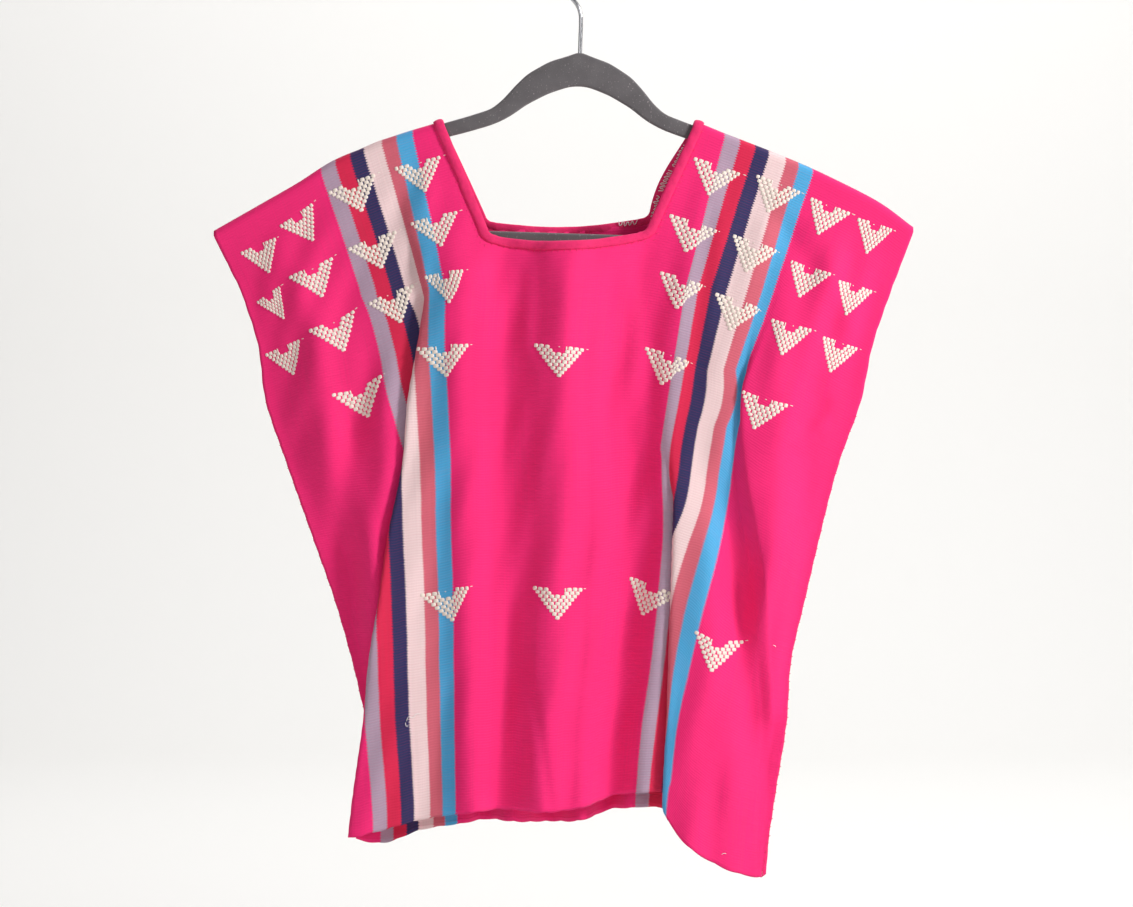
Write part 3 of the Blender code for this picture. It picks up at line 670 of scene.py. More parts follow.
@dataclass
class Web:
    """Half of the web, in front of the hanger or behind it, as points found from lengths on the flat cloth."""

    side: Side
    across_step: float = 2.0
    down_step: float = 2.5
    ripple_seed: int = 7
    ripple_height: float = 0.2
    ripples: int = 18
    ripple_across: tuple[float, float] = (24, 80)
    ripple_down: tuple[float, float] = (50, 220)
    fullness: float = 1.35
    crease_fade: float = 0.35
    crease_top: float = 12.0
    crease_top_reach: float = 50.0
    crease_side_reach: float = 30.0
    hem_scallop: float = 0.9
    hem_still: float = 14.0
    stitch_pitch: float = 21.0
    stitch_swell: float = 0.55
    stitch_draw: float = 0.45
    stitch_drift: float = 6.0
    stitch_drift_pitch: float = 47.0
    stitch_reach: float = 26.0
    seam_reach: float = 60.0
    bow_half: float = 150.0
    wave_top: float = 240.0
    wave_fall: float = 480.0
    relax_start: float = 8.0
    height_step: float = 2.5
    fall_samples: int = 260
    axes_step: float = 1.6
    across: np.ndarray = field(init=False)
    down: np.ndarray = field(init=False)
    tables: tuple = field(init=False)
    pleats: dict = field(init=False)

    def __post_init__(self) -> None:
        """Hang the cloth once."""
        shift = PLEAT_SHIFT[self.side]
        self.pleats = {name: [row._replace(x=row.x + shift) for row in rows] for name, rows in PLEATS.items()}
        self.across = np.arange(-HALF_WEB, HALF_WEB + 1, self.across_step)
        self.down = np.arange(0.0, LENGTH + 0.1, self.down_step)
        self.tables = self.hang()

    def section(self, drop: float) -> tuple[np.ndarray, np.ndarray]:
        """x and depth all across the web at one height below the shoulders."""
        knots = [(ANCHORS[name], at_drop(SECTIONS, name, drop)) for name in ANCHORS]
        steps, folds = np.zeros_like(self.across), []
        for name, rows in self.pleats.items():
            marks = pleat_marks(rows, drop)
            folds += [(across, x) for across, x, _ in marks]
            first, last = marks[0][0], marks[-1][0]
            knots = [k for k in knots if abs(k[0]) == HALF_WEB or not first - 6 < k[0] < last + 6]
            rise = bend_softly(self.across, [m[0] for m in marks], [m[2] for m in marks])
            steps += rise * (1 - ease((self.across - last - self.relax_start) / RELAX[name]))
        knots = sorted(knots + folds)
        x = bend_softly(self.across, [k[0] for k in knots], [k[1] for k in knots])
        window = ease((HALF_WEB - np.abs(self.across)) / self.seam_reach)
        bow = at_drop(SECTIONS, "bow", drop) * hump(self.across / self.bow_half)
        low = ease((drop - self.wave_top) / self.wave_fall)
        ripple = np.zeros_like(self.across)
        for wave in WAVES[self.side]:
            centre = wave.across_top + (wave.across_hem - wave.across_top) * low
            height = wave.top + (wave.hem - wave.top) * low
            ripple += height * hump((self.across - centre) / wave.half_width)
        depth = at_drop(SECTIONS, "gape", drop) + window * (at_drop(SECTIONS, "body", drop) + bow + ripple + steps)
        return x, depth

    def hang(self) -> tuple[np.ndarray, np.ndarray, np.ndarray]:
        """x, depth and drop for every pair of lengths across and down the flat cloth."""
        top_x = smooth_curve(self.across, column(SHOULDER, "across"), column(SHOULDER, "x"))
        top_drop = smooth_curve(self.across, column(SHOULDER, "across"), column(SHOULDER, "drop"))
        held = np.abs(self.across) >= NECK_TOP_HALF - 4
        top_drop = np.where(held, np.minimum(top_drop, arm_line(top_x) - ROLL_RISE), top_drop)
        hem = HEMS[self.side]
        hem_drop = smooth_curve(self.across, column(hem, "across"), column(hem, "drop"))
        wavering = np.abs(np.sin(self.across / 7.3 + 0.4 * np.sin(self.across / 31)))
        hem_drop += self.hem_scallop * wavering * ease((HALF_WEB - np.abs(self.across)) / self.hem_still)
        first = SECTIONS[0].drop
        drops = np.arange(110.0, 800.0, self.height_step)
        sections = {d: self.section(max(d, first)) for d in drops}
        x_at = np.array([sections[d][0] for d in drops])
        depth_at = np.array([sections[d][1] for d in drops])
        x, depth, drop = (np.zeros((len(self.across), len(self.down))) for _ in range(3))
        turn = np.clip(self.down / ROLL, 0, math.pi / 2)
        roll_length = ROLL * math.pi / 2
        over = self.down < roll_length
        for i in range(len(self.across)):
            start = top_drop[i] + ROLL
            hanging = np.linspace(start, hem_drop[i], self.fall_samples)
            share = np.clip((hanging - start) / (first - start), 0, 1)
            x_line = np.interp(hanging, drops, x_at[:, i]) * share + top_x[i] * (1 - share)
            y_line = np.interp(hanging, drops, depth_at[:, i])
            y_line = ROLL + (y_line - ROLL) * ease(share * 0.5 + 0.5 * share**2)
            run = np.sqrt(np.diff(hanging) ** 2 + np.diff(x_line) ** 2 + np.diff(y_line) ** 2)
            run = np.concatenate([[0.0], np.cumsum(run)])
            run = roll_length + run / run[-1] * (LENGTH - roll_length)
            x[i] = np.where(over, top_x[i], np.interp(self.down, run, x_line))
            depth[i] = np.where(over, ROLL * np.sin(turn), np.interp(self.down, run, y_line))
            drop[i] = np.where(over, top_drop[i] + ROLL * (1 - np.cos(turn)), np.interp(self.down, run, hanging))
        grid_across, grid_down = np.meshgrid(self.across, self.down, indexing="ij")
        free = ease((grid_down - self.crease_top) / self.crease_top_reach)
        free = free * ease((HALF_WEB - np.abs(grid_across)) / self.crease_side_reach)
        depth = depth + free * self.creases(x, drop)
        sewn = ease((np.abs(grid_across) - HALF_WEB + self.stitch_reach) / self.stitch_reach)
        sewn = sewn * ease((grid_down - 20) / 30)
        x = x + np.sign(grid_across) * sewn * self.scallop(grid_down)
        depth = np.maximum(depth, np.minimum(SEAM_DEPTH, ROLL * np.sin(np.minimum(self.down / ROLL, 1.0))))
        return x, depth, drop

    def scallop(self, down: np.ndarray) -> np.ndarray:
        """How far the sewn edges swell between the stitches that draw them in."""
        drifted = down + self.stitch_drift * np.sin(down / self.stitch_drift_pitch)
        return self.stitch_swell * np.abs(np.sin(math.pi * drifted / self.stitch_pitch)) - self.stitch_draw

    def creases(self, x: np.ndarray, drop: np.ndarray) -> np.ndarray:
        """The listed creases and a slight unevenness, as a height out of the cloth.

        Layers that lie over each other share a place seen from the front, so they move as one.
        """
        height = np.zeros_like(x)
        for crease in CREASES[self.side]:
            along = np.array([crease.x_b - crease.x_a, crease.drop_b - crease.drop_a])
            length = np.linalg.norm(along)
            unit = along / length
            dx, dy = x - crease.x_a, drop - crease.drop_a
            run = (dx * unit[0] + dy * unit[1]) / length
            off = dx * unit[1] - dy * unit[0] + 2.0 * np.sin(run * 4.0 + crease.x_a)
            fade = ease(run / self.crease_fade + self.crease_fade)
            fade = fade * ease((1 + self.crease_fade - run) / self.crease_fade)
            height += self.fullness * crease.height * fade * np.exp(-((off / crease.width) ** 2))
        maker = np.random.default_rng(self.ripple_seed + self.side.value)
        for _ in range(self.ripples):
            pitch_x, pitch_drop = maker.uniform(*self.ripple_across), maker.uniform(*self.ripple_down)
            phase, sway = maker.uniform(0, 2 * math.pi), maker.uniform(-0.4, 0.4)
            turn = 2 * math.pi * (x / pitch_x + drop / pitch_drop + sway * x * drop / 90000)
            height += self.ripple_height * np.sin(turn + phase)
        return height

    def read(self, table: np.ndarray, across: np.ndarray, down: np.ndarray) -> np.ndarray:
        """A table's value between its points."""
        i = np.clip((across + HALF_WEB) / self.across_step, 0, len(self.across) - 1.001)
        j = np.clip(down / self.down_step, 0, len(self.down) - 1.001)
        a, b = np.floor(i).astype(int), np.floor(j).astype(int)
        s, t = i - a, j - b
        return (
            table[a, b] * (1 - s) * (1 - t) + table[a + 1, b] * s * (1 - t)
            + table[a, b + 1] * (1 - s) * t + table[a + 1, b + 1] * s * t
        )

    def place(self, across: np.ndarray | float, down: np.ndarray | float) -> np.ndarray:
        """Points in metres for lengths across and down the flat cloth."""
        across, down = np.broadcast_arrays(np.asarray(across, float), np.asarray(down, float))
        x, depth, drop = (self.read(table, across, down) for table in self.tables)
        return np.stack([x - CROWN_DROP * math.sin(TILT), -self.side.value * depth, -drop], axis=-1) * MM

    def axes(self, across: np.ndarray, down: np.ndarray) -> tuple[np.ndarray, np.ndarray, np.ndarray]:
        """The directions across, down and out of the cloth at places on it, each of length one."""
        step = self.axes_step
        run = self.place(across + step, down) - self.place(across - step, down)
        fall = self.place(across, down + step) - self.place(across, down - step)
        run /= np.linalg.norm(run, axis=-1, keepdims=True)
        out = np.cross(run, fall) * -self.side.value
        out /= np.linalg.norm(out, axis=-1, keepdims=True)
        return run, np.cross(out, run), out


def neck_half(side: Side, down: float, at: int, border: float) -> float:
    """Where the neck hole's edge is, left (-1) or right (1), going down from the shoulder.

    Args:
        side: front or back of the web.
        down: length down from the shoulder.
        at: -1 for the viewer's left edge, 1 for the right.
        border: how much wider than the finished hole.

    Returns:
        The length across.
    """
    corner = abs(NECK_LEFT_CORNER) if at < 0 else NECK_RIGHT_CORNER
    share = min(max(down / (NECK_DEPTH[side] + border), 0.0), 1.0)
    slack = NECK_SLACK[side] * math.sin(math.pi * share**1.5) if at > 0 else 0.0
    return at * (NECK_TOP_HALF + (corner - NECK_TOP_HALF) * share - slack + border)


def neck_sag(side: Side, across: np.ndarray | float) -> np.ndarray:
    """How much lower than its corners the neck's bottom edge hangs."""
    middle, half = (NECK_LEFT_CORNER + NECK_RIGHT_CORNER) / 2, (NECK_RIGHT_CORNER - NECK_LEFT_CORNER) / 2
    return NECK_SAG[side] * np.clip(1 - ((np.asarray(across, float) - middle) / half) ** 2, 0, 1)


def new_piece(name: str, mesh: bpy.types.Mesh, finish: Finish) -> bpy.types.Object:
    """A new object with its finish, linked to the scene."""
    thing = bpy.data.objects.new(name, mesh)
    bpy.context.scene.collection.objects.link(thing)
    mesh.materials.clear()
    mesh.materials.append(finish.make())
    return thing


def mesh_of(name: str, points: np.ndarray, faces: Sequence[Sequence[int]]) -> bpy.types.Mesh:
    """A smooth mesh from points and faces."""
    mesh = bpy.data.meshes.new(name)
    mesh.from_pydata(np.asarray(points).tolist(), [], [list(map(int, face)) for face in faces])
    mesh.shade_smooth()
    return mesh


def curve_piece(name: str, curve: bpy.types.Curve, finish: Finish) -> bpy.types.Object:
    """A curve's mesh as a new piece."""
    guide = bpy.data.objects.new(name + "_guide", curve)
    bpy.context.scene.collection.objects.link(guide)
    mesh = bpy.data.meshes.new_from_object(guide.evaluated_get(bpy.context.evaluated_depsgraph_get()))
    bpy.data.objects.remove(guide)
    mesh.name = name
    mesh.shade_smooth()
    return new_piece(name, mesh, finish)


def tubes(
    name: str, finish: Finish, lines: Sequence[tuple[Sequence, float]], roundness: int, steps: int = 0,
) -> bpy.types.Object:
    """Round threads or wires with closed ends, as one piece.

    Args:
        name: the piece's name.
        finish: its finish.
        lines: for each one its points in metres and its radius in millimetres.
        roundness: how finely it is rounded.
        steps: how many steps a smooth line takes between two points; with none it runs straight.

    Returns:
        The piece.
    """
    curve = bpy.data.curves.new(name, "CURVE")
    curve.dimensions = "3D"
    curve.bevel_depth = MM
    curve.bevel_resolution = roundness
    curve.use_fill_caps = True
    curve.resolution_u = max(steps, 1)
    for points, radius in lines:
        spline = curve.splines.new("BEZIER" if steps else "POLY")
        knots = spline.bezier_points if steps else spline.points
        knots.add(len(points) - 1)
        for knot, place in zip(knots, points):
            knot.co, knot.radius = (place if steps else (*place, 1.0)), radius
            if steps:
                knot.handle_left_type = knot.handle_right_type = "AUTO"
    return curve_piece(name, curve, finish)


def apply_modifiers(thing: bpy.types.Object) -> bpy.types.Object:
    """Turn what the modifiers make into the object's own mesh."""
    seen = thing.evaluated_get(bpy.context.evaluated_depsgraph_get())
    mesh = bpy.data.meshes.new_from_object(seen)
    thing.modifiers.clear()
    thing.data = mesh
    return thing


@dataclass
class Panel:
    """A panel of the web as a thin shell, open at the neck, with a selvedge all round."""

    side: Side
    node: str
    web: Web
    columns: int = 208
    rows: int = 176
    wall: float = 0.8
    sag_reach: float = 90.0
    under_binding: float = 0.45

    def build(self) -> bpy.types.Object:
        """Make the panel's mesh with its flat lengths as a UV map."""
        border = BINDING_WIDTH * self.under_binding
        bottom = NECK_DEPTH[self.side] + border
        neck_rows = round(self.rows * bottom / LENGTH)
        downs = np.concatenate([
            np.linspace(0.0, bottom, neck_rows + 1), np.linspace(bottom, LENGTH, self.rows - neck_rows + 1)[1:],
        ])
        share = (NECK_TOP_HALF + border) / HALF_WEB
        outer = round(self.columns * (1 - share) / 2)
        inner = self.columns - 2 * outer
        across, down = [], []
        for d in downs:
            left = neck_half(self.side, float(d), -1, border)
            right = neck_half(self.side, float(d), 1, border)
            across.append(np.concatenate([
                np.linspace(-HALF_WEB, left, outer + 1), np.linspace(left, right, inner + 1)[1:],
                np.linspace(right, HALF_WEB, outer + 1)[1:],
            ]))
            below = max(0.0, 1 - (d - bottom) / self.sag_reach) ** 2 if d >= bottom else 0.0
            down.append(d + neck_sag(self.side, across[-1]) * below)
        flat_across, flat_down = np.concatenate(across), np.concatenate(down)
        points = self.web.place(flat_across, flat_down)
        wide = self.columns + 1
        faces = []
        for j in range(self.rows):
            for i in range(self.columns):
                if j < neck_rows and outer <= i < outer + inner:
                    continue
                a = j * wide + i
                quad = (a, a + 1, a + 1 + wide, a + wide)
                faces.append(quad if self.side is Side.BACK else quad[::-1])
        used = np.unique(np.array(faces))
        order = np.full(len(points), -1)
        order[used] = np.arange(len(used))
        mesh = mesh_of(self.node + "_cloth", points[used], order[np.array(faces)])
        layer = mesh.uv_layers.new(name="Web")
        corner = np.empty(len(mesh.loops), int)
        mesh.loops.foreach_get("vertex_index", corner)
        flat = np.stack([flat_across[used][corner], flat_down[used][corner]], axis=1) * MM
        layer.data.foreach_set("uv", flat.astype(np.float32).ravel())
        thing = new_piece(self.node + "_cloth", mesh, WEB)
        wall = thing.modifiers.new("Wall", "SOLIDIFY")
        wall.thickness = self.wall * MM
        wall.offset = 0.0
        wall.use_even_offset = False
        return apply_modifiers(thing)

    def report(self, thing: bpy.types.Object, with_pieces: Sequence[bpy.types.Object]) -> None:
        """Attach the panel to the frame, hide the imported part it stands for, and log its faces."""
        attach(thing, Body.ROOT.value)
        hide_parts(self.node)
        LOG.info("%s: %d faces", thing.name, len(thing.data.polygons))


@dataclass
class Binding:
    """The rolled strip round the square neck, an uneven oval carried along the neck edges of both panels."""

    webs: dict
    sides: int = 14
    pitch: float = 3.0
    pucker: float = 0.10
    pucker_rows: int = 5
    pucker_sum: float = 2.2
    sway: float = 0.12
    sway_step: float = 1.3
    spread: float = 1.03
    bed: float = 1.2
    corner_radius: float = 6.0

    def path(self, side: Side) -> np.ndarray:
        """Lengths across and down along the finished neck edge of one panel, with the way out into the cloth."""
        depth, turn_radius = NECK_DEPTH[side], self.corner_radius
        bottom = depth - turn_radius
        downs = np.concatenate([[0.2], np.linspace(2.0, bottom - 1, round(bottom / self.pitch))])
        turns = np.linspace(0.0, math.pi / 2, 6)
        left = [(-math.cos(t), math.sin(t)) for t in turns]
        rows = [(neck_half(side, d, -1, 0), d, -1.0, 0.0) for d in downs]
        middle = neck_half(side, bottom, -1, 0) + turn_radius
        rows += [(middle + turn_radius * u, bottom + turn_radius * v, u, v) for u, v in left]
        start, end = middle + 3, neck_half(side, bottom, 1, 0) - turn_radius - 3
        level = np.linspace(start, end, round((end - start) / self.pitch))
        rows += [(a, depth + float(neck_sag(side, a)), 0.0, 1.0) for a in level]
        middle = neck_half(side, bottom, 1, 0) - turn_radius
        rows += [(middle - turn_radius * u, bottom + turn_radius * v, -u, v) for u, v in left[::-1]]
        rows += [(neck_half(side, d, 1, 0), d, 1.0, 0.0) for d in downs[::-1]]
        return np.array(rows)

    def build(self) -> bpy.types.Object:
        """Make the strip."""
        middles, halves = [], []
        for side in (Side.FRONT, Side.BACK):
            web, path = self.webs[side], self.path(side)
            path = path if side is Side.FRONT else path[::-1]
            edge = web.place(path[:, 0], path[:, 1])
            border = web.place(path[:, 0] + path[:, 2] * BINDING_WIDTH, path[:, 1] + path[:, 3] * BINDING_WIDTH)
            middles.append((edge + border) / 2)
            halves.append((border - edge) / 2)
        middle, half = np.concatenate(middles), np.concatenate(halves)
        along = np.roll(middle, -1, axis=0) - np.roll(middle, 1, axis=0)
        normal = np.cross(along, half)
        normal /= np.linalg.norm(normal, axis=1, keepdims=True)
        middle = middle - normal * (BINDING_THICK - self.bed) / 2 * MM
        maker = np.random.default_rng(11)
        count, window = len(middle), np.ones(self.pucker_rows) / self.pucker_sum
        swell = 1 + self.pucker * np.convolve(maker.normal(size=count + len(window) - 1), window, mode="valid")
        turn = 2 * math.pi * (np.arange(self.sides) + 0.5) / self.sides
        sway = self.sway * np.sin(np.arange(count)[:, None] * self.sway_step + turn[None, :] * 2)
        wide = half[:, None] * np.cos(turn)[None, :, None] * self.spread
        high = np.sin(turn)[None, :] * (1 + sway) * swell[:, None]
        rings = middle[:, None] + wide + normal[:, None] * high[..., None] * BINDING_THICK / 2 * MM
        faces = []
        for j in range(count):
            for k in range(self.sides):
                near, far = j * self.sides, (j + 1) % count * self.sides
                faces.append((near + k, near + (k + 1) % self.sides, far + (k + 1) % self.sides, far + k))
        mesh = mesh_of("neck_roll", rings.reshape(-1, 3), faces)
        thing = new_piece("neck_roll", mesh, BINDING)
        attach(thing, Body.ROOT.value)
        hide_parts("neck_binding")
        LOG.info("neck binding: %d rings", count)
        return thing


# ---- Stitches, floats and other repeats ----


@dataclass
class Repeats:
    """Many small shapes set on points, each with its own turn and scale, made by Geometry Nodes."""

    name: str
    finish: Finish
    places: list = field(default_factory=list)
    turns: list = field(default_factory=list)
    scales: list = field(default_factory=list)

    def put(self, place: np.ndarray, frame: np.ndarray, scale: Sequence[float]) -> None:
        """Add one shape.

        Args:
            place: where its middle is, in metres.
            frame: its three axes as the columns of a matrix.
            scale: its size along each axis.
        """
        self.places.append(place)
        self.turns.append(tuple(Matrix(frame.tolist()).to_euler("XYZ")))
        self.scales.append(tuple(scale))

    def shape(self, graph: Graph, source: Wire) -> Wire:
        """The shape that is repeated: a plump float of yarn, 1 m long before it is scaled."""
        block = graph.add("GeometryNodeMeshCube", {}, {"Size": (1.0, 1.0, 1.0)})
        return graph.add(
            "GeometryNodeSubdivisionSurface", {},
            {0: block, "Level": source.other("Rounding"), "Edge Crease": source.other("Firmness")},
        )

    def inputs(self) -> dict:
        """The tree's named inputs: their kinds and values."""
        return {"Rounding": ("NodeSocketInt", 1), "Firmness": ("NodeSocketFloat", 0.8)}

    def build(self) -> bpy.types.Object:
        """Grow the shapes and keep them as a plain mesh."""
        mesh = bpy.data.meshes.new(self.name + "_points")
        mesh.from_pydata([tuple(p) for p in self.places], [], [])
        for name, rows in (("turn", self.turns), ("size", self.scales)):
            layer = mesh.attributes.new(name, "FLOAT_VECTOR", "POINT")
            layer.data.foreach_set("vector", np.array(rows, np.float32).ravel())
        points = bpy.data.objects.new(self.name + "_points", mesh)
        bpy.context.scene.collection.objects.link(points)
        tree = bpy.data.node_groups.new(self.name, "GeometryNodeTree")
        tree.interface.new_socket("Geometry", in_out="INPUT", socket_type="NodeSocketGeometry")
        wanted = self.inputs() | {"Finish": ("NodeSocketMaterial", self.finish.make())}
        known = {
            name: tree.interface.new_socket(name, in_out="INPUT", socket_type=kind).identifier
            for name, (kind, _) in wanted.items()
        }
        tree.interface.new_socket("Geometry", in_out="OUTPUT", socket_type="NodeSocketGeometry")
        graph = Graph(tree)
        source = graph.add("NodeGroupInput")
        turn = graph.add("GeometryNodeInputNamedAttribute", {"data_type": "FLOAT_VECTOR"}, {"Name": "turn"})
        size = graph.add("GeometryNodeInputNamedAttribute", {"data_type": "FLOAT_VECTOR"}, {"Name": "size"})
        rotation = graph.add("FunctionNodeEulerToRotation", {}, {0: turn})
        stamped = graph.add(
            "GeometryNodeInstanceOnPoints", {},
            {"Points": source, "Instance": self.shape(graph, source), "Rotation": rotation, "Scale": size},
        )
        real = graph.add("GeometryNodeRealizeInstances", {}, {0: stamped})
        smooth = graph.add("GeometryNodeSetShadeSmooth", {}, {0: real})
        dressed = graph.add("GeometryNodeSetMaterial", {}, {0: smooth, "Material": source.other("Finish")})
        graph.add("NodeGroupOutput", {}, {0: dressed})
        modifier = points.modifiers.new("Grow", "NODES")
        modifier.node_group = tree
        for name, (_, value) in wanted.items():
            modifier[known[name]] = value
        seen = points.evaluated_get(bpy.context.evaluated_depsgraph_get())
        result = bpy.data.meshes.new_from_object(seen)
        points.modifiers.remove(modifier)
        bpy.data.objects.remove(points)
        for name in ("turn", "size"):
            if name in result.attributes:
                result.attributes.remove(result.attributes[name])
        result.name = self.name
        thing = new_piece(self.name, result, self.finish)
        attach(thing, Body.ROOT.value)
        LOG.info("%s: %d shapes, %d faces", self.name, len(self.places), len(result.polygons))
        return thing


class StitchLoops(Repeats):
    """Loops of thread round an edge, as rings 2 m across before they are scaled."""

    def shape(self, graph: Graph, source: Wire) -> Wire:
        """A ring of thread."""
        loop, thread = (
            graph.add("GeometryNodeCurvePrimitiveCircle", {}, {"Resolution": source.other(count), "Radius": radius})
            for count, radius in (("Along count", 1.0), ("Round count", source.other("Thread radius")))
        )
        return graph.add("GeometryNodeCurveToMesh", {}, {"Curve": loop, "Profile Curve": thread})

    def inputs(self) -> dict:
        """The tree's named inputs: their kinds and values."""
        return {
            "Round count": ("NodeSocketInt", 5), "Along count": ("NodeSocketInt", 12),
            "Thread radius": ("NodeSocketFloat", 0.15),
        }


class Bird(NamedTuple):
    """One brocaded bird on the flat web: its middle, its size, and how its width and its height lean in degrees."""

    across: float
    down: float
    width: float = 43.0
    height: float = 27.5
    turn: float = 0.0
    lean: float = 0.0


FRONT_BIRDS = tabled(
    Bird,
    (120, 46, 42.6, 28.4, -1.9, 4), (176, 41, 42, 28.8, -0.8, 4), (227, 39, 37.3, 28.3, -5.4, 1),
    (272, 34, 35.7, 27.4, -12.4, -6), (113, 101, 44.6, 28.2, 1, 5), (172, 100, 40.5, 29.3, -0.8, 2),
    (231, 96, 39.8, 28.1, -8, 0), (277, 90, 35.1, 27.3, -15.2, -2), (116, 152, 43.5, 28.2, 1.8, 7),
    (173, 155, 42.7, 28.6, -1, 3), (233, 148, 39, 27.6, -12.6, -1), (280, 140, 34.6, 27.9, -12.6, 4),
    (114, 220, 47.3, 28.3, 4.5, 11), (227, 217, 39.8, 31.2, -13, 14), (109, 424, 56.9, 28, 13.3, 19),
    (223, 431, 51.8, 27.6, -29.3, 1), (-120, 44, 39.5, 27.9, 2.5, -3), (-180, 40, 44.3, 27.4, 3.5, -3),
    (-233, 41, 34.5, 29.2, -6.4, -15), (-278, 50, 34.6, 29.5, 5.5, -1), (-116, 95, 41.2, 28.5, 2.1, -3),
    (-178, 93, 46.9, 27.9, 4.5, -2), (-239, 90, 44.4, 28, 0, -4), (-283, 96, 25.6, 29, -6.8, -14),
    (-117, 146, 34.4, 28, 7.8, -4), (-177, 143, 46.3, 27.2, 2.9, 1), (-236, 141, 45.4, 27.8, -1.9, -8),
    (-285, 148, 33.6, 30, 0.4, -13), (-120, 208, 47.3, 27.1, 10.5, -2), (-226, 203, 46.7, 27.6, 1.2, -8),
    (-123, 416, 47.8, 28, 1.5, -10), (2, 215, 56.6, 26.8, 6.2, -5), (3, 419, 57.4, 26.6, 2.8, -2),
)


@dataclass
class Brocade:
    """White floats laid in by hand: staggered dashes that make a bird with spread wings, point down."""

    web: Web
    rows: int = 9
    dashes_wide: float = 8.6
    fill: float = 0.84
    row_fill: float = 1.14
    proud: float = 0.8
    lift: float = 0.5
    tip: float = 0.13
    notch_half: float = 0.27
    notch_rows: float = 2.0
    notch_curve: float = 1.6
    shortest: float = 0.25
    tail_share: float = 0.6
    columns: tuple[float, ...] = (118.0, 176.0, 231.0, 277.0)
    upper_rows: tuple[float, ...] = (42.0, 96.0, 148.0)
    wide_columns: tuple[float, ...] = (-226.0, -118.0, 2.0, 118.0, 226.0)
    lower_rows: tuple[float, ...] = (214.0, 420.0)

    def birds(self) -> list[Bird]:
        """The birds of one panel; the hidden back has the plain repeat."""
        if self.web.side is Side.FRONT:
            return FRONT_BIRDS
        found = [Bird(at * sign, down) for down in self.upper_rows for at in self.columns for sign in (-1, 1)]
        return found + [Bird(at, down) for down in self.lower_rows for at in self.wide_columns]

    def spans(self, row: int) -> list[tuple[float, float]]:
        """The stretches that a weft row covers, as shares of the bird's half width, from its middle."""
        outer = self.tip + (1 - self.tip) * (1 - row / (self.rows - 1))
        if row >= self.notch_rows:
            return [(-outer, outer)]
        inner = self.notch_half * math.sqrt(1 - (row / self.notch_rows) ** self.notch_curve)
        return [(-outer, -inner), (inner, outer)]

    def dashes(self, bird: Bird, maker: np.random.Generator) -> list[tuple[float, float, float, float]]:
        """One bird's dashes: middle across, middle down, length and thickness, from the bird's own middle."""
        found = []
        half, pitch, row_pitch = bird.width / 2, bird.width / self.dashes_wide, bird.height / self.rows
        for row in range(self.rows):
            below = (row + 0.5) * row_pitch - bird.height / 2
            for low, high in self.spans(row):
                low, high = low * half, high * half
                first = math.floor(low / pitch) - 1
                for k in range(first, first + 14):
                    middle = (k + 0.5 * (row % 2)) * pitch + maker.normal(0, 0.1)
                    start, end = max(middle - self.fill * pitch / 2, low), min(middle + self.fill * pitch / 2, high)
                    if end - start > self.shortest * pitch:
                        thick = self.row_fill * row_pitch * maker.uniform(0.92, 1.08)
                        found.append(((start + end) / 2, below + maker.normal(0, 0.08), end - start, thick))
        top = 0.5 - bird.height / 2
        found.append((half + maker.uniform(2.4, 4.0), top, maker.uniform(1.6, 3.2), 0.7))
        if maker.uniform() < self.tail_share:
            found.append((maker.uniform(-3, 3), top + maker.uniform(0.2, 1.5), 1.4, 0.8))
        return found

    def build(self, name: str) -> bpy.types.Object:
        """Lay every float on the cloth."""
        maker = np.random.default_rng(23 + self.web.side.value)
        floats = Repeats(name, FLOAT_YARN)
        for bird in self.birds():
            turn, lean = math.radians(bird.turn), math.radians(bird.lean)
            along, fall = np.array([math.cos(turn), math.sin(turn)]), np.array([-math.sin(lean), math.cos(lean)])
            dashes = np.array(self.dashes(bird, maker))
            flat = np.array([bird.across, bird.down]) + dashes[:, :1] * along + dashes[:, 1:2] * fall
            places, out = self.web.place(*flat.T), self.web.axes(*flat.T)[2]
            steps = [self.web.place(*(flat + way).T) - self.web.place(*(flat - way).T) for way in (along, fall)]
            for place, z, run, drop, (_, _, length, thick) in zip(places, out, *steps, dashes):
                x = run / np.linalg.norm(run)
                across = np.cross(z, x)
                frame = np.stack([x, across, z], axis=1)
                long, wide = length * np.linalg.norm(run) / 2, thick * abs(drop @ across) / 2
                high = min(self.proud, thick * 0.5) * maker.uniform(0.85, 1.15) * MM
                floats.put(place + z * self.lift * MM, frame, (long, wide, high))
        return floats.build()


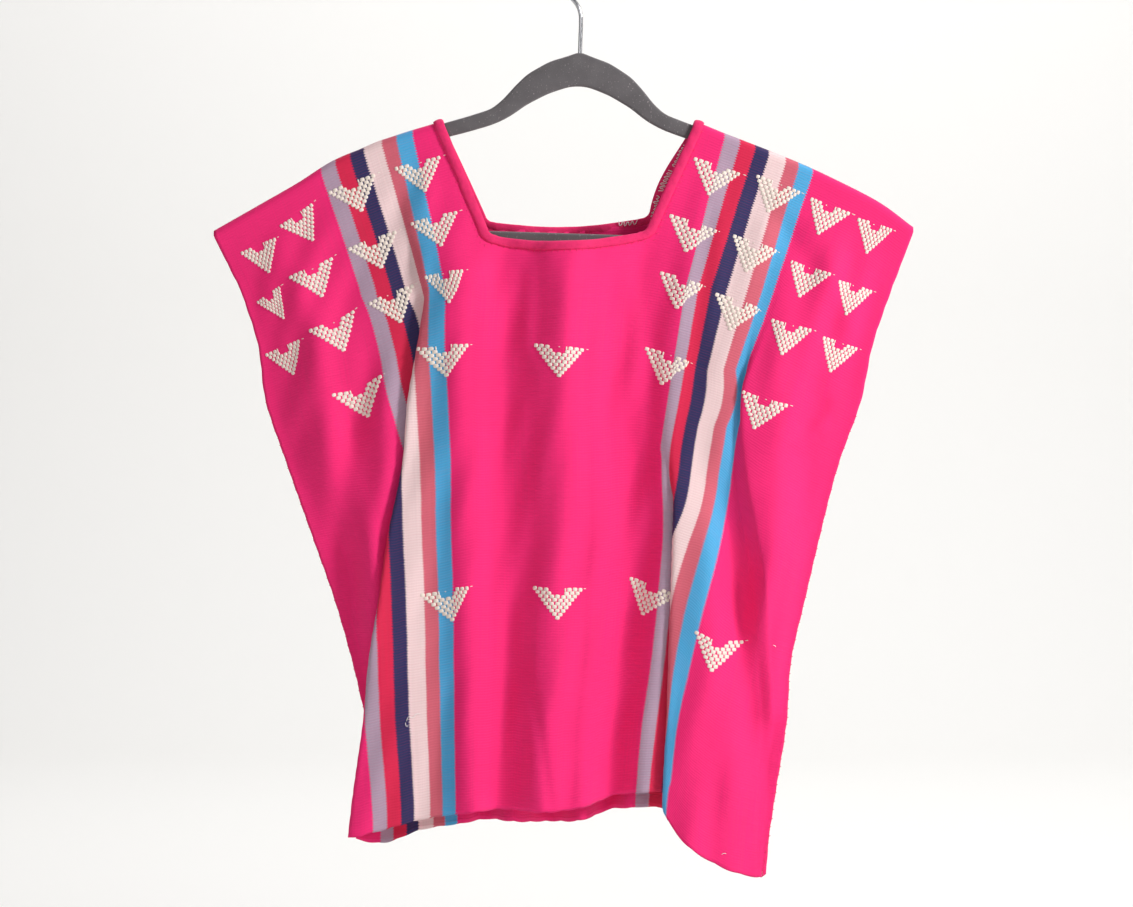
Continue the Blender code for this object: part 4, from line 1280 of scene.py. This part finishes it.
@dataclass
class Sewing:
    """Overcast stitches that close the two side seams, and small stitches round the neck."""

    webs: dict
    seam_top: float = 178.0
    seam_pitch: float = 7.6
    seam_inset: float = 1.7
    seam_loop: tuple[float, float, float] = (1.95, 0.6, 1.6)
    neck_pitch: float = 6.0
    neck_stitch: tuple[float, float, float] = (2.6, 0.6, 0.6)
    neck_lift: float = 0.45
    edge_radius: float = 0.95
    edge_pitch: float = 5.0

    def middle(self, across: float, down: float | np.ndarray) -> np.ndarray:
        """The place midway between the two panels."""
        return (self.webs[Side.FRONT].place(across, down) + self.webs[Side.BACK].place(across, down)) / 2

    def seams(self) -> bpy.types.Object:
        """Loops of thread over both edges, from the armholes to the hem."""
        loops = StitchLoops("seam_stitches", SEAM_THREAD)
        maker = np.random.default_rng(3)
        front, back = self.webs[Side.FRONT], self.webs[Side.BACK]
        through = np.array([0.0, 1.0, 0.0])
        wide, slack, high = self.seam_loop
        for sign in (-1, 1):
            for down in np.arange(self.seam_top, LENGTH - 4, self.seam_pitch):
                at = float(down + maker.normal(0, 0.5))
                inner = sign * (HALF_WEB - self.seam_inset)
                fall = front.place(inner, at + 3) - front.place(inner, at - 3)
                fall[1] = 0
                fall /= np.linalg.norm(fall)
                lean = sign * maker.uniform(0.25, 0.55)
                axis = fall * math.cos(lean) + np.cross(fall, through) * math.sin(lean)
                frame = np.stack([np.cross(through, axis), through, axis], axis=1)
                gap = abs(front.place(inner, at)[1] - back.place(inner, at)[1]) / 2
                loops.put(self.middle(inner, at), frame, (wide * MM, gap + slack * MM, high * MM))
        return loops.build()

    def cords(self) -> bpy.types.Object:
        """The two edges drawn together under the loops, as a thin roll that closes each side seam."""
        downs = np.arange(self.seam_top - 4, LENGTH - 4, self.edge_pitch)
        lines = [self.middle(sign * (HALF_WEB - 1.0), downs) for sign in (-1, 1)]
        thing = tubes("seam_edges", BINDING, [(line, self.edge_radius) for line in lines], roundness=2)
        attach(thing, Body.ROOT.value)
        return thing

    def neck(self) -> bpy.types.Object:
        """Short stitches that hold the rolled strip down, on the front and the back."""
        stitches = Repeats("neck_stitches", SEAM_THREAD)
        maker = np.random.default_rng(5)
        for side in (Side.FRONT, Side.BACK):
            web, depth = self.webs[side], NECK_DEPTH[side]
            edge = BINDING_WIDTH + 0.6
            rows = [
                (neck_half(side, float(down), at, edge), float(down), 1.0)
                for at in (-1, 1) for down in np.arange(9, depth + edge, self.neck_pitch)
            ]
            rows += [
                (float(across), depth + edge + float(neck_sag(side, across)), 0.0)
                for across in np.arange(NECK_LEFT_CORNER - 6, NECK_RIGHT_CORNER + 7, self.neck_pitch)
            ]
            across, down, upright = np.array(rows).T
            for place, x, y, z, up in zip(web.place(across, down), *web.axes(across, down), upright):
                lean = maker.uniform(0.3, 0.7) if up else maker.uniform(0.9, 1.3)
                long = x * math.cos(lean) + y * math.sin(lean)
                frame = np.stack([long, np.cross(z, long), z], axis=1)
                stitches.put(place + z * self.neck_lift * MM, frame, [size * MM for size in self.neck_stitch])
        return stitches.build()


@dataclass
class LooseEnds:
    """Stray white threads: the overlocked edge inside the back of the neck, a pull, a fleck and ends at the hem."""

    webs: dict
    radius: float = 0.25
    overlock_radius: float = 0.42
    stray: float = 0.4

    def overlock(self) -> list[list[tuple[float, float, float]]]:
        """The zigzag over the neck's raw edge inside the back, as lengths across, down and in front of the cloth."""
        maker = np.random.default_rng(8)
        lines = []
        for low, high in ((24.0, 44.0), (47.0, 66.0), (69.0, 91.0)):
            downs = np.arange(low, high, 1.5)
            lines.append([
                (neck_half(Side.BACK, down, 1, 2.2 + 3.0 * (k % 2) + maker.normal(0, self.stray)), down, -3.4)
                for k, down in enumerate(downs)
            ])
        lines.append([(66.0 - 2.1 * k, 92.0 + 3.4 * (k % 2) + maker.normal(0, self.stray), -1.0) for k in range(9)])
        return lines

    def ends(self) -> list[list[tuple[float, float, float]]]:
        """The pull across the navy and pale stripes, a fleck, and the thread ends near the hem."""
        return [
            [
                (-164.5, 508.0, 0.7), (-162.5, 504.8, 1.8), (-159.0, 506.0, 1.2), (-155.5, 503.4, 2.0),
                (-152.0, 504.0, 0.7),
            ],
            [(-165.5, 509.0, 0.7), (-165.0, 512.0, 1.4), (-163.0, 512.5, 0.7)],
            [(-159.5, 593.0, 0.6), (-161.0, 597.0, 0.9), (-158.0, 600.0, 1.0)],
            [(281.0, 394.0, 0.7), (283.0, 393.6, 0.9), (285.0, 394.2, 0.7)],
            [(255.5, 584.0, 0.5), (257.0, 582.4, 0.8), (259.5, 581.4, 0.5)],
            [(-150.0, 592.0, 0.6), (-150.5, 597.0, 0.8), (-148.0, 601.0, 1.4)],
        ]

    def build(self) -> bpy.types.Object:
        """Lay the threads as thin tubes."""
        laid = []
        groups = ((Side.BACK, self.overlock(), self.overlock_radius), (Side.FRONT, self.ends(), self.radius))
        for side, lines, radius in groups:
            for line in lines:
                across, down, proud = np.array(line).T
                out = self.webs[side].axes(across, down)[2]
                laid.append((self.webs[side].place(across, down) + out * proud[:, None] * MM, radius))
        thing = tubes("loose_threads", WHITE_THREAD, laid, roundness=1, steps=3)
        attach(thing, Body.ROOT.value)
        return thing


# ---- The hanger ----


@dataclass
class Hanger:
    """A slim flocked hanger: arms, side curves and trouser bar, and its bright wire hook."""

    round_edge: float = 2.3
    step: float = 3.0
    weld: float = 0.00002
    hook_turn: tuple[float, float, int] = (195, -28, 16)

    def soften(self, outline: Sequence[tuple[float, float]]) -> np.ndarray:
        """A smooth closed line through the outline's points."""
        points = np.array(list(outline) + [outline[0]])
        run = np.concatenate([[0.0], np.cumsum(np.linalg.norm(np.diff(points, axis=0), axis=1))])
        count = round(run[-1] / self.step)
        at = np.linspace(0, run[-1], count, endpoint=False)
        turns = [np.interp(at, run, points[:, k]) for k in (0, 1)]
        line = np.stack(turns, axis=1)
        for _ in range(3):
            line = (np.roll(line, 1, axis=0) + 2 * line + np.roll(line, -1, axis=0)) / 4
        return line

    def body(self) -> bpy.types.Object:
        """Arms, side curves and bar in one flat piece with rounded edges."""
        top = [(row.x, row.top) for row in ARMS] + SIDE_OUTER
        under = [(row.x, row.under) for row in ARMS] + SIDE_INNER
        curve = bpy.data.curves.new("hanger_outline", "CURVE")
        curve.dimensions = "2D"
        curve.fill_mode = "BOTH"
        curve.extrude = (ARM_DEPTH / 2 - self.round_edge) * MM
        curve.bevel_depth = self.round_edge * MM
        curve.bevel_resolution = 3
        curve.offset = -self.round_edge * MM
        for half in (top, under):
            right = [tilted(x, drop) for x, drop in half]
            left = [tilted(-x, drop) for x, drop in half[:0:-1]]
            line = self.soften(right + left)
            spline = curve.splines.new("POLY")
            spline.points.add(len(line) - 1)
            for point, (x, z) in zip(spline.points, line):
                point.co = (x * MM, z * MM, 0, 1)
            spline.use_cyclic_u = True
        thing = curve_piece("hanger_velvet", curve, FLOCK)
        thing.data.transform(Matrix.Rotation(math.pi / 2, 4, "X"))
        weld = thing.modifiers.new("Weld", "WELD")
        weld.merge_threshold = self.weld
        apply_modifiers(thing)
        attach(thing, Body.ROOT.value)
        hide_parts("hanger_body")
        LOG.info("hanger: %d faces", len(thing.data.polygons))
        return thing

    def hook(self) -> bpy.types.Object:
        """The wire, straight up from the crown, then round over the top and down to its tip."""
        middle = HOOK_RADIUS - WIRE / 2
        stem = [(0.0, CROWN_DROP + 2.0), (0.0, 56.0), (0.0, 44.0), (-0.8, 35.0), (-4.0, 28.0), (-9.5, 22.0)]
        turns = np.radians(np.linspace(*self.hook_turn))
        loop = [(HOOK_RADIUS * math.cos(t), middle - HOOK_RADIUS * math.sin(t)) for t in turns]
        route = [tilted(x, drop) for x, drop in stem + loop]
        points = [(x * MM, 0, z * MM) for x, z in route]
        thing = tubes("hook_wire", CHROME, [(points, WIRE / 2)], roundness=6, steps=8)
        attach(thing, Body.ROOT.value)
        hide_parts("hanger_hook")
        LOG.info("hook: %d faces", len(thing.data.polygons))
        return thing


# ---- The studio ----


@dataclass
class Studio:
    """A plain pale floor and backdrop, soft light, and the camera at the photo's viewing angle."""

    distance: float = 3.0
    view_width: float = 0.977
    centre_x: float = -0.0138
    centre_z: float = -0.415
    floor: float = -0.98
    blouse_middle: tuple[float, float, float] = (0.0, 0.0, -0.4)
    room_light: float = 0.21
    sensor: float = 36.0

    def backdrop(self) -> None:
        """A sheet of paper that runs down behind the blouse and forward over the floor."""
        back, front, radius, half, top = 4.4, -4.8, 0.9, 6.5, 4.5
        turns = np.linspace(0, math.pi / 2, 12)
        line = [(back, top)]
        line += [(back - radius + radius * math.cos(t), self.floor + radius - radius * math.sin(t)) for t in turns]
        line += [(front, self.floor)]
        points = [(x, y, z) for y, z in line for x in (-half, half)]
        faces = [(2 * i, 2 * i + 2, 2 * i + 3, 2 * i + 1) for i in range(len(line) - 1)]
        paper = new_piece("studio_paper", mesh_of("studio_paper", np.array(points), faces), PAPER)

    def light(self, name: str, place: Sequence[float], aim: Sequence[float], size: float, power: float) -> None:
        """One soft square light.

        Args:
            name: its name.
            place: where it stands.
            aim: what it points at.
            size: its side in metres.
            power: in watts.
        """
        lamp = bpy.data.lights.new(name, "AREA")
        lamp.size, lamp.energy = size, power
        thing = bpy.data.objects.new(name, lamp)
        way = Vector(place) - Vector(aim)
        thing.matrix_world = Matrix.Translation(place) @ way.to_track_quat("Z", "Y").to_matrix().to_4x4()
        bpy.context.scene.collection.objects.link(thing)

    def build(self) -> None:
        """Set the paper, the lights, the room's light and the camera."""
        self.backdrop()
        self.light("key", (2.0, -1.25, 0.75), self.blouse_middle, 0.5, 60.0)
        self.light("fill", (-1.3, -2.2, 0.4), self.blouse_middle, 1.6, 8.0)
        self.light("wall", (0.4, 1.5, 3.0), (0.5, 4.4, -0.3), 2.4, 122.0)
        world = bpy.data.worlds.new("room")
        bpy.context.scene.world = world
        world.use_nodes = True
        shade = world.node_tree.nodes["Background"]
        shade.inputs["Color"].default_value = (1.0, 1.0, 1.0, 1.0)
        shade.inputs["Strength"].default_value = self.room_light
        bpy.context.scene.view_settings.view_transform = "Standard"
        lens = bpy.data.cameras.new("camera")
        lens.sensor_width = self.sensor
        lens.lens = self.sensor * self.distance / self.view_width
        camera = bpy.data.objects.new("camera", lens)
        camera.location = (self.centre_x, -self.distance, self.centre_z)
        camera.rotation_euler = (math.pi / 2, 0, 0)
        bpy.context.scene.collection.objects.link(camera)
        bpy.context.scene.camera = camera


def main() -> None:
    """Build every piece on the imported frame."""
    logging.basicConfig(level=logging.INFO, format="%(message)s")
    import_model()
    Studio().build()
    webs = {side: Web(side) for side in Side}
    sewing = Sewing(webs)
    panels = {side: Panel(side, f"{side.name.lower()}_panel", webs[side]) for side in Side}
    cloth = {side: panel.build() for side, panel in panels.items()}
    roll = Binding(webs).build()
    floats = {side: Brocade(webs[side]).build(f"{side.name.lower()}_birds") for side in Side}
    seams, neck, edges = sewing.seams(), sewing.neck(), sewing.cords()
    loose = LooseEnds(webs).build()
    panels[Side.FRONT].report(cloth[Side.FRONT], [floats[Side.FRONT], seams, edges, neck, roll, loose])
    panels[Side.BACK].report(cloth[Side.BACK], [floats[Side.BACK]])
    hanger = Hanger()
    hanger.body()
    hanger.hook()


if __name__ == "__main__":
    main()
